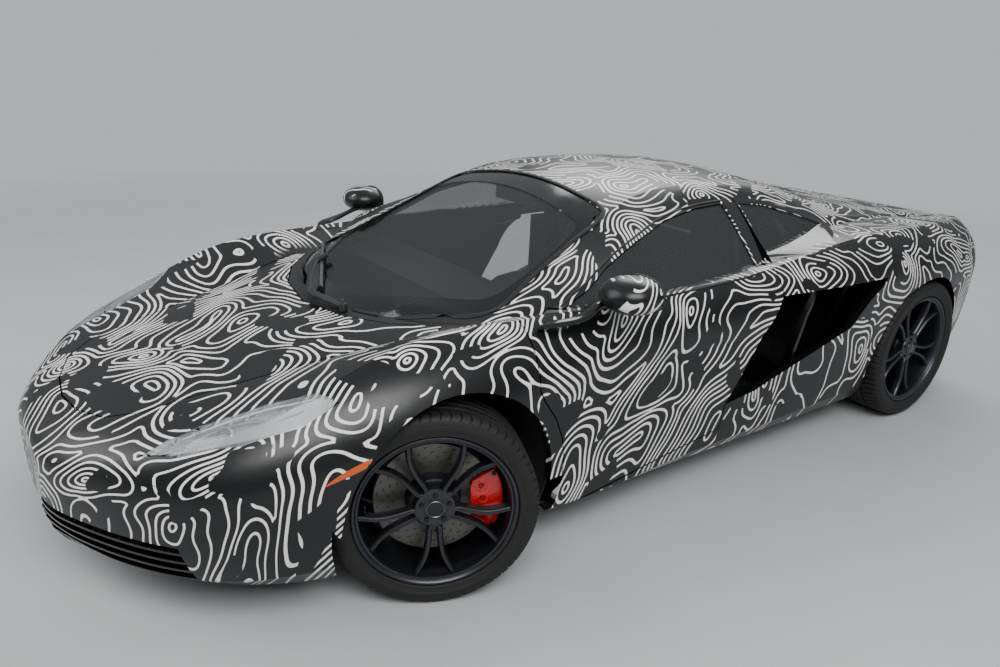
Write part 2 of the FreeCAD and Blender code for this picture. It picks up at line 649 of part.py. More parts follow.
def add_rim(name, end, spot):
    """A forged wheel of five spoke pairs, with its brake disc bolted behind the hub."""
    rim, wide, disc = end + "_rim_radius", end + "_tyre_width", end + "_disc_radius"
    body = doc.addObject("PartDesign::Body", name)
    face = {wide: 0.5, "face_sink": -1}
    back = {wide: 0.5, "face_sink": -1, "spoke_depth": -1}
    value, text = term(**back)
    corners = []
    for p in SPOKES:
        along = term(p.along, **{rim: 1}) if p.at_rim else term(p.along)
        across = term(p.across, spoke_width=p.spoke_widths) if p.spoke_widths else term(p.across)
        corners.append((across, along))
    sketch = drawn(body, name + "SpokePair", "XZ_Plane", corners, (-value, "-(%s)" % text))
    pad = body.newObject("PartDesign::Pad", name + "Spokes")
    pad.Profile = sketch
    pad.Length = size("spoke_depth")
    pad.setExpression("Length", "sizes.spoke_depth")
    pad.Reversed = True
    axle = next(f for f in body.Origin.OriginFeatures if f.Role == "Y_Axis")
    ring = body.newObject("PartDesign::PolarPattern", name + "SpokeRing")
    ring.Originals = [pad]
    ring.Axis = (axle, [""])
    ring.Angle = 360
    ring.Occurrences = 5
    body.Tip = ring
    inside = {rim: 1, "rim_wall": -1}
    lip = {rim: 1, "rim_lip": 1}
    spun(
        body,
        name + "Barrel",
        [
            (term(**{wide: 0.47}), term(**inside)),
            (term(**{wide: 0.47}), term(**lip)),
            (term(**{wide: 0.432}), term(**lip)),
            (term(**{wide: 0.432}), term(**{rim: 1})),
            (term(**{wide: -0.432}), term(**{rim: 1})),
            (term(**{wide: -0.432}), term(**lip)),
            (term(**{wide: -0.47}), term(**lip)),
            (term(**{wide: -0.47}), term(**inside)),
        ],
    )
    spun(
        body,
        name + "HubAndDisc",
        [
            (term(-24), term(0)),
            (term(-24), term(hub_radius=1)),
            (term(-20), term(hub_radius=1)),
            (term(-20), term(**{disc: 1})),
            (term(-20, disc_thickness=1), term(**{disc: 1})),
            (term(-20, disc_thickness=1), term(18, hub_radius=1)),
            (term(**back), term(18, hub_radius=1)),
            (term(**back), term(hub_radius=1)),
            (term(**face), term(hub_radius=1)),
            (term(**face), term(cap_radius=1)),
            (term(6, **face), term(cap_radius=1)),
            (term(6, **face), term(0)),
        ],
    )
    body.Placement = spot
    return keep_object(name, body)


def rod(a, b, radius):
    return Part.makeCylinder(radius, (b - a).Length, a, b - a)


def carrier(inset):
    """A wheel carrier about its kingpin: post, hub housing and the ears that hold the caliper."""
    post = Part.makeCylinder(24, 2 * POST, Vec(0, 0, -POST))
    housing = tube_y(0, 0, 58, -26, inset - 24 - SEAT)
    ear = box(-150, -40, inset - 84, inset - 52 - SEAT, -45, 45)
    return post.fuse([housing, ear])


def caliper(inset, disc_radius, rim_radius):
    """A caliper that straddles the disc on the side away from the travel, clear of disc and rim."""
    inner_r, outer_r = disc_radius - 72, rim_radius - size("rim_wall") - 14
    block = tube_y(0, 0, outer_r, inset - 52, inset + 38).cut(tube_y(0, 0, inner_r, inset - 60, inset + 60))
    wedge = side_prism([(0, 0), (-400, 215), (-400, -215)], inset - 60, inset + 60)
    slot = tube_y(0, 0, disc_radius + 5, inset - 25, inset + size("disc_thickness") - 15)
    return block.common(wedge).cut(slot)


POST = 118
STEER = FreeCAD.Rotation(Vec(0, 0, 1), -size("steer_now"))
HALF_TURN = FreeCAD.Rotation(Vec(0, 0, 1), 180)
NO_TURN = FreeCAD.Rotation()
PAIR_DOWN = FreeCAD.Rotation(Vec(0, 1, 0), 180)


def placed(shape, spot):
    moved = shape.copy()
    moved.Placement = spot
    return moved


def add_wheels():
    """Tyres and rims, the front pair turned as parked, with their carriers and calipers."""
    front_caliper = caliper(size("kingpin_inset"), size("front_disc_radius"), size("front_rim_radius"))
    rear_caliper = caliper(size("kingpin_inset"), size("rear_disc_radius"), size("rear_rim_radius"))
    held = {"uprights": [], "calipers": []}
    for tag, sign, turn in (("left", 1, NO_TURN), ("right", -1, HALF_TURN)):
        pin = FreeCAD.Placement(Vec(FRONT_X, sign * KINGPIN_Y, FRONT_Z), STEER.multiply(turn))
        wheel = pin.multiply(FreeCAD.Placement(Vec(0, size("kingpin_inset"), 0), PAIR_DOWN))
        add_tyre("tyre_front_" + tag, "front", wheel)
        add_rim("rim_front_" + tag, "front", wheel)
        # The caliper sits behind the axle on both sides, so the right one is the left one's mirror image
        knuckle = carrier(size("kingpin_inset"))
        grip = front_caliper
        if sign < 0:
            knuckle = knuckle.mirror(Vec(0, 0, 0), Vec(1, 0, 0))
            grip = grip.mirror(Vec(0, 0, 0), Vec(1, 0, 0))
        keep("knuckle_" + tag, placed(knuckle, pin))
        keep("front_caliper_" + tag, placed(grip, pin))
        spot = FreeCAD.Placement(Vec(REAR_X, sign * REAR_Y, REAR_Z), turn)
        wheel = spot.multiply(FreeCAD.Placement(Vec(), PAIR_DOWN))
        add_tyre("tyre_rear_" + tag, "rear", wheel)
        add_rim("rim_rear_" + tag, "rear", wheel)
        seat = spot.multiply(FreeCAD.Placement(Vec(0, -size("kingpin_inset"), 0), NO_TURN))
        upright = carrier(size("kingpin_inset"))
        grip = rear_caliper
        if sign > 0:
            upright = upright.mirror(Vec(0, 0, 0), Vec(1, 0, 0))
            grip = grip.mirror(Vec(0, 0, 0), Vec(1, 0, 0))
        held["uprights"].append(placed(upright, seat))
        held["calipers"].append(placed(grip, seat))
    keep("rear_uprights", Part.makeCompound(held["uprights"]))
    keep("rear_calipers", Part.makeCompound(held["calipers"]))


add_wheels()
print("wheels")


def wishbone(x, z, pin_y, root_y, spread, top):
    """An arm of two rods that meet in a ball end under or over the carrier's post."""
    z_pin = z + (POST + SEAT if top else -POST - SEAT - 22)
    ball = Part.makeCylinder(26, 22, Vec(x, pin_y, z_pin))
    middle = z_pin + 11
    legs = [rod(Vec(x + dx, root_y, middle), Vec(x, pin_y, middle), 11) for dx in (-spread, spread)]
    return ball.fuse(legs)


FRAME_Y = 470
REAR_FRAME_Y = 340
FLOOR_TOP = size("floor_z") + SKIN + size("floor_lift")
BUFFER_X = (MIDDLE_X + 80, MIDDLE_X + 560)


def add_chassis():
    """The tub, the front and rear structure, arms, arch liners, engine and pipes."""
    bulk_x = size("tub_rear_x")
    wide = size("tub_half_width")
    sill_z = size("floor_z") + size("tub_sill_height")
    toe_x = size("tub_front_x") + 120
    floor = box(bulk_x, 815, 0, wide, 100, FLOOR_TOP)
    sill = box(bulk_x, 815, wide - 130, wide, 100, sill_z)
    back = box(bulk_x, bulk_x + size("tub_wall"), 0, 660, 100, 1120)
    back = back.cut(box(bulk_x - 10, bulk_x + 60, -10, 330, 850, 1030))
    scuttle = box(775, 815, FRAME_Y - 10, wide, 100, 600)
    nose = box(700, toe_x, 0, FRAME_Y, 100, 640).cut(box(690, toe_x - 40, -10, FRAME_Y - 40, FLOOR_TOP, 700))
    shelf = box(bulk_x - 120, bulk_x + 10, 60, 120, 1050, 1250)
    tub = floor.fuse([sill, back, scuttle, nose, shelf]).common(room)
    # Buffers on the sills, which the frames of the closed doors bear on
    door_back = body_form(size("door_skin") + SEAT)
    buffers = [
        box(x, x + size("buffer_length"), wide - 1, 1400, sill_z - 40, sill_z - GAP).common(door_back)
        for x in BUFFER_X
    ]
    keep("tub", joined(solids_of(tub.fuse(buffers))))

    well = box(toe_x + SEAT, FRONT_X + 560, 0, FRAME_Y, 100, 620)
    well = well.cut(box(toe_x + 30, FRONT_X + 530, -10, FRAME_Y - 30, 230, 700)).common(room)
    keep("front_boot", joined(solids_of(well)))

    rail = box(-HALF_LENGTH + 330, bulk_x - SEAT, 300, REAR_FRAME_Y, 100, 480)
    rail = rail.cut(box(REAR_X - 300, REAR_X + 560, 290, 400, 260, 400))
    cross = box(-HALF_LENGTH + 290, -HALF_LENGTH + 330, 0, 420, 300, 700)
    post = box(-HALF_LENGTH + 290, -HALF_LENGTH + 330, 0, 60, 690, 1000)
    keep("rear_frame", joined(solids_of(rail.fuse([cross, post]).common(room))))

    back_x = bulk_x - 40 - size("engine_length")
    block = box(back_x, bulk_x - 40, 0, size("engine_width") / 2, 100, 190 + size("engine_height"))
    keep("engine", joined(block.common(room)))

    arms = [
        wishbone(FRONT_X, FRONT_Z, KINGPIN_Y, FRAME_Y, 150, True),
        wishbone(FRONT_X, FRONT_Z, KINGPIN_Y, FRAME_Y, 150, False),
    ]
    front_arms = Part.makeCompound([a.cut(box(-FAR, FAR, 0, FRAME_Y + SEAT, 0, 999)) for a in arms])
    keep("front_arms", Part.makeCompound(front_arms.Solids + mirrored(front_arms).Solids))
    arms = [
        wishbone(REAR_X, REAR_Z, REAR_Y - size("kingpin_inset"), REAR_FRAME_Y, 150, True),
        wishbone(REAR_X, REAR_Z, REAR_Y - size("kingpin_inset"), REAR_FRAME_Y, 150, False),
    ]
    rear_arms = Part.makeCompound([a.cut(box(-FAR, FAR, 0, REAR_FRAME_Y + SEAT, 0, 999)) for a in arms])
    keep("rear_arms", Part.makeCompound(rear_arms.Solids + mirrored(rear_arms).Solids))

    liners = []
    for x, z, end in ((FRONT_X, FRONT_Z, "front"), (REAR_X, REAR_Z, "rear")):
        y = size(end + "_liner_inner_y")
        inside, outside = size("liner_radius"), WELL - SEAT
        barrel = tube_y(x, z, outside, y, 885).cut(tube_y(x, z, inside, y + size("liner_wall"), 900))
        barrel = barrel.cut(tube_y(x, z, 210, y - 9, 900)).common(room).cut(box(-FAR, FAR, 0, 1400, 0, 176))
        liners.append(solids_of(barrel, 20000))
    liners = Part.makeCompound(liners)
    keep("arch_liners", Part.makeCompound(liners.Solids + mirrored(liners).Solids))

    tail = -HALF_LENGTH
    reach = 290 - SEAT - 6
    spot = Vec(tail + 6, size("pipe_spacing") / 2, 646)
    pipe = Part.makeCylinder(size("pipe_radius"), reach, spot, Vec(1, 0, 0))
    bore_radius = size("pipe_radius") - size("pipe_wall")
    bore = Part.makeCylinder(bore_radius, reach, spot - Vec(10, 0, 0), Vec(1, 0, 0))
    keep("exhausts", both(pipe.cut(bore)))
    plate = [(tail + 300, 168), (tail + 14, 322), (tail + 14, 334), (tail + 300, 182)]
    fin = [(tail + 300, 150), (tail + 22, 226), (tail + 14, 322), (tail + 300, 168)]
    half = side_prism(plate, 0, 470)
    half = half.fuse([side_prism(fin, 0, 4)] + [side_prism(fin, y - 4, y + 4) for y in (150, 300, 440)])
    keep("diffuser", joined(half))

    # A duct wall behind each side intake, with the upright blade that stands in its mouth
    wall = side_prism([(-352, 345), (-352, 790), (REAR_X + 400, 790), (REAR_X + 400, 345)], 772, 782)
    upright = [(-468, 345), (-486, 520), (-560, 800), (-544, 800), (-468, 520), (-448, 345)]
    blade = side_prism(upright, 781, 940)
    duct = wall.fuse(blade).common(room).cut(wells)
    keep("intake_ducts", both(solids_of(duct, 20000)))


add_chassis()
print("chassis")


WIPER_BLADE = [
    (1235, -20, 777),
    (1190, -116, 789),
    (1145, -212, 804),
    (1100, -308, 820),
    (1055, -404, 823),
    (1010, -500, 816),
]


def add_cabin():
    """Dashboard with its column, seats, steering wheel, mirrors and wiper."""
    seat_y = 370
    hub = Vec(300, seat_y, 716)
    tilt = Vec(-math.cos(math.radians(24)), 0, math.sin(math.radians(24)))
    dash = side_prism([(880, 640 + SEAT), (520, 640 + SEAT), (540, 745), (640, 790), (880, 770)], 0, 630)
    tunnel = box(-420, 690, 0, 95, FLOOR_TOP + SEAT, 400).fuse(box(540, 690, 0, 95, 380, 660))
    column = rod(hub - tilt * (30 + SEAT), hub - tilt * 330, 34)
    dash = solids_of(dash.fuse([tunnel]).common(room), 50000)
    keep("dashboard", joined(dash).fuse(column.common(room)))

    foot = FLOOR_TOP + SEAT
    side = [(90, foot), (104, 300), (30, 338), (-300, 300), (-350, 340), (-490, 740), (-510, 985)]
    side += [(-560, 1000), (-582, 960), (-582, 640), (-470, foot)]
    width = size("seat_width")
    keep("seats", both(side_prism(side, seat_y - width / 2, seat_y + width / 2)))

    ring = doc.addObject("Part::Torus", "WheelRing")
    ring.setExpression("Radius1", "sizes.wheel_rim_radius")
    ring.setExpression("Radius2", "sizes.wheel_rim_tube")
    boss = doc.addObject("Part::Cylinder", "WheelBoss")
    boss.Radius = 52
    boss.Height = 44
    boss.Placement.Base = Vec(0, 0, -30)
    arms = []
    for number, angle in enumerate((0, 180, 270)):
        arm = doc.addObject("Part::Box", "WheelSpoke%d" % number)
        arm.setExpression("Length", "sizes.wheel_rim_radius")
        arm.Width = 34
        arm.Height = 12
        turn = FreeCAD.Rotation(Vec(0, 0, 1), angle)
        arm.Placement = FreeCAD.Placement(turn.multVec(Vec(0, -17, -6)), turn)
        arms.append(arm)
    steering = doc.addObject("Part::MultiFuse", "steering_wheel")
    steering.Shapes = [ring, boss] + arms
    across = FreeCAD.Rotation(Vec(0, -1, 0), tilt.cross(Vec(0, -1, 0)) * -1, tilt, "ZXY")
    steering.Placement = FreeCAD.Placement(hub, across)
    doc.recompute()
    keep_object("steering_wheel", steering)

    grow = FreeCAD.Matrix()
    radii = Vec(98, 104, 66)
    grow.scale(radii)
    housing = Part.makeSphere(1).transformGeometry(grow)
    housing.translate(Vec(598, size("mirror_reach") - radii.y, 912))
    stalk = rod(Vec(800, 832, 812), Vec(640, 900, 876), 11)
    stalk = stalk.fuse(rod(Vec(640, 900, 876), Vec(600, 930, 890), 11))
    mirror = solids_of(housing.fuse(stalk.cut(outer)), 50000)
    keep("mirror_left", mirror)
    keep("mirror_right", mirrored(mirror))

    stem = rod(Vec(375, 0, 1072), Vec(375, 0, 1190), 9).common(glass_back)
    glass = box(366, 384, -110, 110, 1046, 1100)
    stem = joined(stem)
    keep("cabin_mirror", glass.fuse(stem))

    # The wiper's pivots stand left of the middle; its blade lies along the foot of the screen
    pivot, knee, grip = Vec(1262, 215, 772), Vec(1316, 0, 778), Vec(1122, -260, 826)
    arm = rod(pivot - Vec(0, 0, 32), pivot, 14).fuse([rod(pivot, knee, 8), rod(knee, grip, 8)])
    line = [Vec(*spot) for spot in WIPER_BLADE]
    blade = [rod(a, b, 7) for a, b in zip(line, line[1:])]
    # The pin ends on the blade's own line, clear of the glass
    arm = arm.fuse(blade + [rod(grip, (line[2] + line[3]) * 0.5, 9)])
    keep("wiper", solids_of(arm.cut(cabin).cut(outer).cut(glass_face)))


add_cabin()
print("cabin")


doc.recompute()
os.makedirs("parts", exist_ok=True)
for name, feature in parts.items():
    shape = feature.Shape
    if "Invalid" in feature.State or "Error" in feature.State or shape.isNull():
        raise RuntimeError(name + " did not build")
    print(name, len(shape.Solids), round(shape.Volume / 1e6, 2), shape.isValid())
    shape.exportStep("parts/%s.step" % name)
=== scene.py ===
import bpy, bmesh, json, math
from mathutils import Vector, Matrix
from mathutils.bvhtree import BVHTree


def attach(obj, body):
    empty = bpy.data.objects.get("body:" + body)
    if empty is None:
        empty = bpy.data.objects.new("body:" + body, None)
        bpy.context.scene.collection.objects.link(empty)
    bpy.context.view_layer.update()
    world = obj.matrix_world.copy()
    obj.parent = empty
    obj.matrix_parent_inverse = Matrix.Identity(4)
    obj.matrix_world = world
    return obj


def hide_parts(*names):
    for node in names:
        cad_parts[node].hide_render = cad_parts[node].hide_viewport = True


# A mid-engined two-seat supercar in a black test wrap with white contour lines.
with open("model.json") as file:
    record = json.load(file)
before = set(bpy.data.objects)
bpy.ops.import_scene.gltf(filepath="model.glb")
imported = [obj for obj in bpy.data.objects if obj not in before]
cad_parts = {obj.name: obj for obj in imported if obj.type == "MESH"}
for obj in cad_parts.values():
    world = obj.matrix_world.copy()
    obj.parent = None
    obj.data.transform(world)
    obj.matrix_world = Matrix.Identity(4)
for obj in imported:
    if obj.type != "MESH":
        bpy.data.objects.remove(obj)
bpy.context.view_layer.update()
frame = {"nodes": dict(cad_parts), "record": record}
nodes = frame["nodes"]
print("frame loaded:", len(nodes), "CAD nodes")


# Helpers

def linear(hexColour):
    channels = [int(hexColour[i:i + 2], 16) / 255 for i in (1, 3, 5)]
    return tuple(c / 12.92 if c <= 0.04045 else ((c + 0.055) / 1.055) ** 2.4 for c in channels) + (1.0,)


def node(tree, kind, links=None, **settings):
    # links holds socket name or number: value, colour, or the socket that feeds it
    made = tree.nodes.new("ShaderNode" + kind)
    for name, value in settings.items():
        setattr(made, name, value)
    for name, value in (links or {}).items():
        socket = made.inputs[name]
        if isinstance(value, bpy.types.NodeSocket):
            tree.links.new(value, socket)
        else:
            socket.default_value = value
    return made


def maths(tree, operation, a, b=0.0, c=0.0, clamp=False):
    return node(tree, "Math", {0: a, 1: b, 2: c}, operation=operation, use_clamp=clamp).outputs[0]


def mixed(tree, factor, a, b):
    made = node(tree, "Mix", {"Factor": factor}, data_type="RGBA")
    for socket, value in ((made.inputs[6], a), (made.inputs[7], b)):
        if isinstance(value, bpy.types.NodeSocket):
            tree.links.new(value, socket)
        else:
            socket.default_value = value
    return made.outputs[2]


def ramp(tree, value, low, high, start=0.0, end=1.0, kind="LINEAR"):
    return node(tree, "MapRange", {"Value": value, "From Min": low, "From Max": high,
                                   "To Min": start, "To Max": end}, interpolation_type=kind).outputs[0]


def centred(tree, value, rate):
    # a saw wave from -0.5 to 0.5, rate times a unit
    return maths(tree, "SUBTRACT", maths(tree, "FRACT", maths(tree, "MULTIPLY", value, rate)), 0.5)


def newMaterial(name):
    # returns the material, its tree, its shader and the object-space position
    made = bpy.data.materials.new(name)
    made.use_nodes = True
    tree = made.node_tree
    shader = tree.nodes["Principled BSDF"]
    place = node(tree, "TexCoord").outputs["Object"]
    return made, tree, shader, place


def noise(tree, place, scale, detail=2.0, rough=0.5, out="Fac", dims="3D"):
    return node(tree, "TexNoise", {"Vector": place, "Scale": scale, "Detail": detail, "Roughness": rough},
                noise_dimensions=dims).outputs[out]


def bumped(tree, shader, height, distance):
    made = node(tree, "Bump", {"Height": height, "Distance": distance, "Strength": 1.0})
    tree.links.new(made.outputs[0], shader.inputs["Normal"])


def coloured(tree, shader, factor, dark, light, rough=None, metal=None):
    # colour from dark to light by a factor, and with it the roughness
    tree.links.new(mixed(tree, factor, linear(dark), linear(light)), shader.inputs["Base Color"])
    if rough:
        tree.links.new(ramp(tree, factor, 0.3, 0.7, *rough), shader.inputs["Roughness"])
    if metal is not None:
        shader.inputs["Metallic"].default_value = metal


def plain(name, dark, light, rough=(0.4, 0.5), metal=0.0, scale=40.0, bump=0.0, bumpScale=400.0, **sockets):
    # a surface whose colour and roughness drift between two values, over a fine bump
    made, tree, shader, place = newMaterial(name)
    drift = noise(tree, place, scale, 4.0, 0.6)
    coloured(tree, shader, drift, dark, light, rough, metal)
    for socket, value in sockets.items():
        shader.inputs[socket.replace("_", " ")].default_value = value
    if bump:
        bumped(tree, shader, noise(tree, place, bumpScale, 3.0), bump)
    return made


# Wrap: satin black vinyl with nested white contour lines, in metres on the skin
wrap = {
    "black": "#070809", "sheen": "#0d0e0f", "white": "#ecece8",
    "island": 0.34, "lineWidth": 0.0092, "spacing": 0.0335,
    "warps": ((2.6, 0.15), (6.5, 0.034)), "bareScale": 5.2, "bareShare": 0.63,
}


def wrapMaterial():
    # cast vinyl film, satin: broad soft highlights, a faint stipple, crisp printed lines
    made, tree, shader, place = newMaterial("printed_vinyl_wrap")
    split = node(tree, "SeparateXYZ", {0: place}).outputs
    x, y, z = split[0], split[1], split[2]
    # height of the crown along the car, so that the girth can be read from it
    curve = node(tree, "FloatCurve", {"Value": ramp(tree, x, -2.255, 2.255)})
    crown = [(2.2, 0.5), (1.8, 0.62), (1.2, 0.76), (0.9, 0.8), (0.3, 1.1), (-0.12, 1.199), (-0.6, 1.18),
             (-1.1, 1.06), (-1.5, 0.99), (-1.9, 0.93), (-2.25, 0.87)]
    points = curve.mapping.curves[0].points
    for i, (px, pz) in enumerate(sorted(crown)):
        spot = ((px + 2.255) / 4.51, pz / 1.25)
        if i < 1:
            points[0].location = (0.0, spot[1])
        elif i == len(crown) - 1:
            points[-1].location = (1.0, spot[1])
        else:
            points.new(*spot)
    curve.mapping.update()
    top = maths(tree, "MULTIPLY", curve.outputs[0], 1.25)
    drop = maths(tree, "SUBTRACT", top, z)
    side = ramp(tree, y, -0.42, 0.42, -1.0, 1.0)
    around = maths(tree, "MULTIPLY_ADD", drop, side, y)
    nose = ramp(tree, x, 1.75, 2.1)
    tail = ramp(tree, x, -1.9, -2.15)
    along = maths(tree, "MULTIPLY_ADD", drop, maths(tree, "SUBTRACT", nose, tail), x)
    flat = node(tree, "CombineXYZ", {0: along, 1: around}).outputs[0]
    def loopField(step):
        # slow and quick warps bend the ground that nested loops round scattered islands are drawn on
        ground = node(tree, "VectorMath", {0: flat, 1: step}, operation="ADD").outputs[0]
        bend = ground
        for scale, reach in wrap["warps"]:
            shift = noise(tree, ground, scale, 0.0, 0.5, "Color", "2D")
            shift = node(tree, "VectorMath", {0: shift, 1: (0.5, 0.5, 0.5)}, operation="SUBTRACT").outputs[0]
            bend = node(tree, "VectorMath", {0: shift, 1: (reach * 2,) * 3, 2: bend},
                        operation="MULTIPLY_ADD").outputs[0]
        cells = node(tree, "TexVoronoi", {"Vector": bend, "Scale": 1 / wrap["island"], "Randomness": 1.0,
                                          "Smoothness": 0.16},
                     voronoi_dimensions="2D", feature="SMOOTH_F1").outputs["Distance"]
        return maths(tree, "MULTIPLY", cells, wrap["island"] / wrap["spacing"])

    # the field's slope, taken over a short step, keeps every line equally wide
    here, step = loopField((0, 0, 0)), 0.002
    slopes = [maths(tree, "SUBTRACT", loopField(way), here) for way in ((step, 0, 0), (0, step, 0))]
    squares = [maths(tree, "MULTIPLY", slope, slope) for slope in slopes]
    slope = maths(tree, "MULTIPLY", maths(tree, "SQRT", maths(tree, "ADD", *squares)), 1 / step)
    saw = maths(tree, "ABSOLUTE", maths(tree, "SUBTRACT", maths(tree, "FRACT", here), 0.5))
    reach = maths(tree, "DIVIDE", saw, maths(tree, "MAXIMUM", slope, 0.35 / wrap["spacing"]))
    line = ramp(tree, reach, wrap["lineWidth"] / 2 + 0.0005, wrap["lineWidth"] / 2 - 0.0005)
    # bare vinyl between the groups of lines
    bare = ramp(tree, noise(tree, flat, wrap["bareScale"], 1.0, 0.5, "Fac", "2D"), wrap["bareShare"],
                wrap["bareShare"] + 0.006, 1.0, 0.0)
    line = maths(tree, "MULTIPLY", line, bare)
    # only faces that look away from the car's middle are printed; the backs and folded edges stay black
    facing = node(tree, "TexCoord").outputs["Normal"]
    lean = node(tree, "CombineXYZ", {0: maths(tree, "MULTIPLY", x, 0.22), 1: y,
                                     2: maths(tree, "SUBTRACT", z, 0.42)}).outputs[0]
    lean = node(tree, "VectorMath", {0: lean}, operation="NORMALIZE").outputs[0]
    outer = node(tree, "VectorMath", {0: facing, 1: lean}, operation="DOT_PRODUCT").outputs["Value"]
    line = maths(tree, "MULTIPLY", line, ramp(tree, outer, 0.1, 0.14))
    cloud = noise(tree, place, 3.0, 4.0, 0.6)
    ink = mixed(tree, cloud, linear(wrap["black"]), linear(wrap["sheen"]))
    tree.links.new(mixed(tree, line, ink, linear(wrap["white"])), shader.inputs["Base Color"])
    soft = ramp(tree, noise(tree, place, 55.0, 5.0, 0.7), 0.3, 0.7, 0.28, 0.36)
    tree.links.new(soft, shader.inputs["Roughness"])
    bumped(tree, shader, noise(tree, place, 900.0, 2.0), 0.00004)
    return made


# Camera at the photo's place, with its lens
cameraSpot = {"place": (2.4314, 2.7032, 1.6458), "azimuth": 53.201, "elevation": 19.37, "roll": 2.588,
              "lens": 29.03}


def addCamera():
    a, e, r = (math.radians(cameraSpot[k]) for k in ("azimuth", "elevation", "roll"))
    back = Vector((math.cos(a) * math.cos(e), math.sin(a) * math.cos(e), math.sin(e)))
    right = Vector((-math.sin(a), math.cos(a), 0))
    up = back.cross(right)
    camRight = math.cos(r) * right + math.sin(r) * up
    camUp = -math.sin(r) * right + math.cos(r) * up
    data = bpy.data.cameras.new("camera")
    data.lens, data.sensor_width, data.sensor_fit = cameraSpot["lens"], 36.0, "HORIZONTAL"
    data.clip_start = 0.05
    made = bpy.data.objects.new("camera", data)
    made.matrix_world = Matrix((camRight, camUp, back)).transposed().to_4x4()
    made.matrix_world.translation = Vector(cameraSpot["place"])
    bpy.context.scene.collection.objects.link(made)
    bpy.context.scene.camera = made


# Studio: pale floor, soft sky light and three large lamps
studio = {"backdrop": "#c4c6c8", "floorSize": 24.0, "fade": (4.2, 8.5), "sky": 0.6, "key": 360.0,
          "fill": 150.0,
          "rim": 220.0}


def floorMaterial():
    # matt seamless paper, which meets the backdrop's tone far from the car
    made = plain("seamless_paper", "#b4b5b6", "#bfc0c1", (0.75, 0.85), scale=3.0)
    tree = made.node_tree
    out = next(n for n in tree.nodes if n.type == "OUTPUT_MATERIAL").inputs["Surface"]
    paper = out.links[0].from_socket
    place = node(tree, "TexCoord").outputs["Object"]
    far = node(tree, "VectorMath", {0: place}, operation="LENGTH").outputs["Value"]
    seen = node(tree, "LightPath").outputs["Is Camera Ray"]
    fade = maths(tree, "MULTIPLY", ramp(tree, far, *studio["fade"]), seen)
    backdrop = node(tree, "Emission", {"Color": linear(studio["backdrop"]), "Strength": 1.0}).outputs[0]
    tree.links.new(node(tree, "MixShader", {0: fade, 1: paper, 2: backdrop}).outputs[0], out)
    return made


def addStudio():
    mesh = bpy.data.meshes.new("floor")
    half = studio["floorSize"]
    mesh.from_pydata([(-half, -half, 0), (half, -half, 0), (half, half, 0), (-half, half, 0)], [],
                     [(0, 1, 2, 3)])
    floor = bpy.data.objects.new("floor", mesh)
    bpy.context.scene.collection.objects.link(floor)
    floor.data.materials.append(floorMaterial())
    for name, place, size, power in (
            ("key_lamp", (2.5, 4.5, 5.0), (5.0, 3.0), studio["key"]),
            ("fill_lamp", (5.5, -2.5, 4.0), (4.0, 4.0), studio["fill"]),
            ("rim_lamp", (-4.5, -3.0, 5.0), (5.0, 3.0), studio["rim"])):
        data = bpy.data.lights.new(name, "AREA")
        data.shape, data.size, data.size_y, data.energy = "RECTANGLE", size[0], size[1], power
        lamp = bpy.data.objects.new(name, data)
        lamp.location = place
        lamp.rotation_euler = (Vector(place) - Vector((0, 0, 0.4))).to_track_quat("Z", "Y").to_euler()
        bpy.context.scene.collection.objects.link(lamp)
    world = bpy.data.worlds.new("studio")
    world.use_nodes = True
    bpy.context.scene.world = world
    tree = world.node_tree
    tree.nodes.clear()
    paths = node(tree, "LightPath").outputs
    seen = maths(tree, "MAXIMUM", paths["Is Camera Ray"], paths["Is Transmission Ray"])
    # overcast sky: brighter overhead, seen in the reflections
    up = node(tree, "SeparateXYZ", {0: node(tree, "TexCoord").outputs["Generated"]}).outputs[2]
    glow = maths(tree, "MULTIPLY", ramp(tree, up, 0.0, 0.7, 0.35, 1.0), studio["sky"])
    sky = node(tree, "Background", {"Color": (0.93, 0.96, 1.0, 1.0), "Strength": glow})
    back = node(tree, "Background", {"Color": linear(studio["backdrop"]), "Strength": 1.0})
    blend = node(tree, "MixShader", {0: seen, 1: sky.outputs[0], 2: back.outputs[0]})
    node(tree, "OutputWorld", {0: blend.outputs[0]})


addCamera()
addStudio()
print("camera and studio in place")

# Materials
vinyl = wrapMaterial()
# moulded polypropylene with a fine grain: dull, slightly grey
trimBlack = plain("moulded_black_trim", "#121314", "#1b1c1e", (0.5, 0.62), bump=0.00006, bumpScale=900.0)
# piano lacquer over plastic
glossBlack = plain("gloss_black_lacquer", "#08090a", "#0d0e10", (0.08, 0.16), scale=12.0)
# dry carbon or dark composite
darkCarbon = plain("dark_composite", "#141517", "#1e1f22", (0.38, 0.5), bump=0.00005, bumpScale=600.0)
castAluminium = plain("cast_aluminium", "#8f9296", "#a4a7ab", (0.35, 0.5), metal=1.0, bump=0.00005)
darkAlloy = plain("satin_dark_alloy", "#3d3e42", "#4a4b50", (0.3, 0.38), metal=0.9, scale=60.0)
rubber = plain("tyre_rubber", "#141415", "#1d1d1e", (0.62, 0.78), bump=0.00008, bumpScale=700.0)
redPaint = plain("red_caliper_lacquer", "#a80f0f", "#bd1512", (0.2, 0.3), Coat_Weight=0.6, Coat_Roughness=0.1)
darkPaint = plain("grey_caliper_lacquer", "#27282a", "#303134", (0.3, 0.4))
steelMatt = plain("machined_steel", "#7f8184", "#94969a", (0.3, 0.42), metal=1.0, scale=90.0)
leather = plain("dark_leather", "#1d1c1c", "#262524", (0.5, 0.62), bump=0.0002, bumpScale=260.0)
linerFelt = plain("needled_arch_liner", "#0d0d0e", "#151516", (0.85, 0.95), bump=0.0003, bumpScale=500.0)


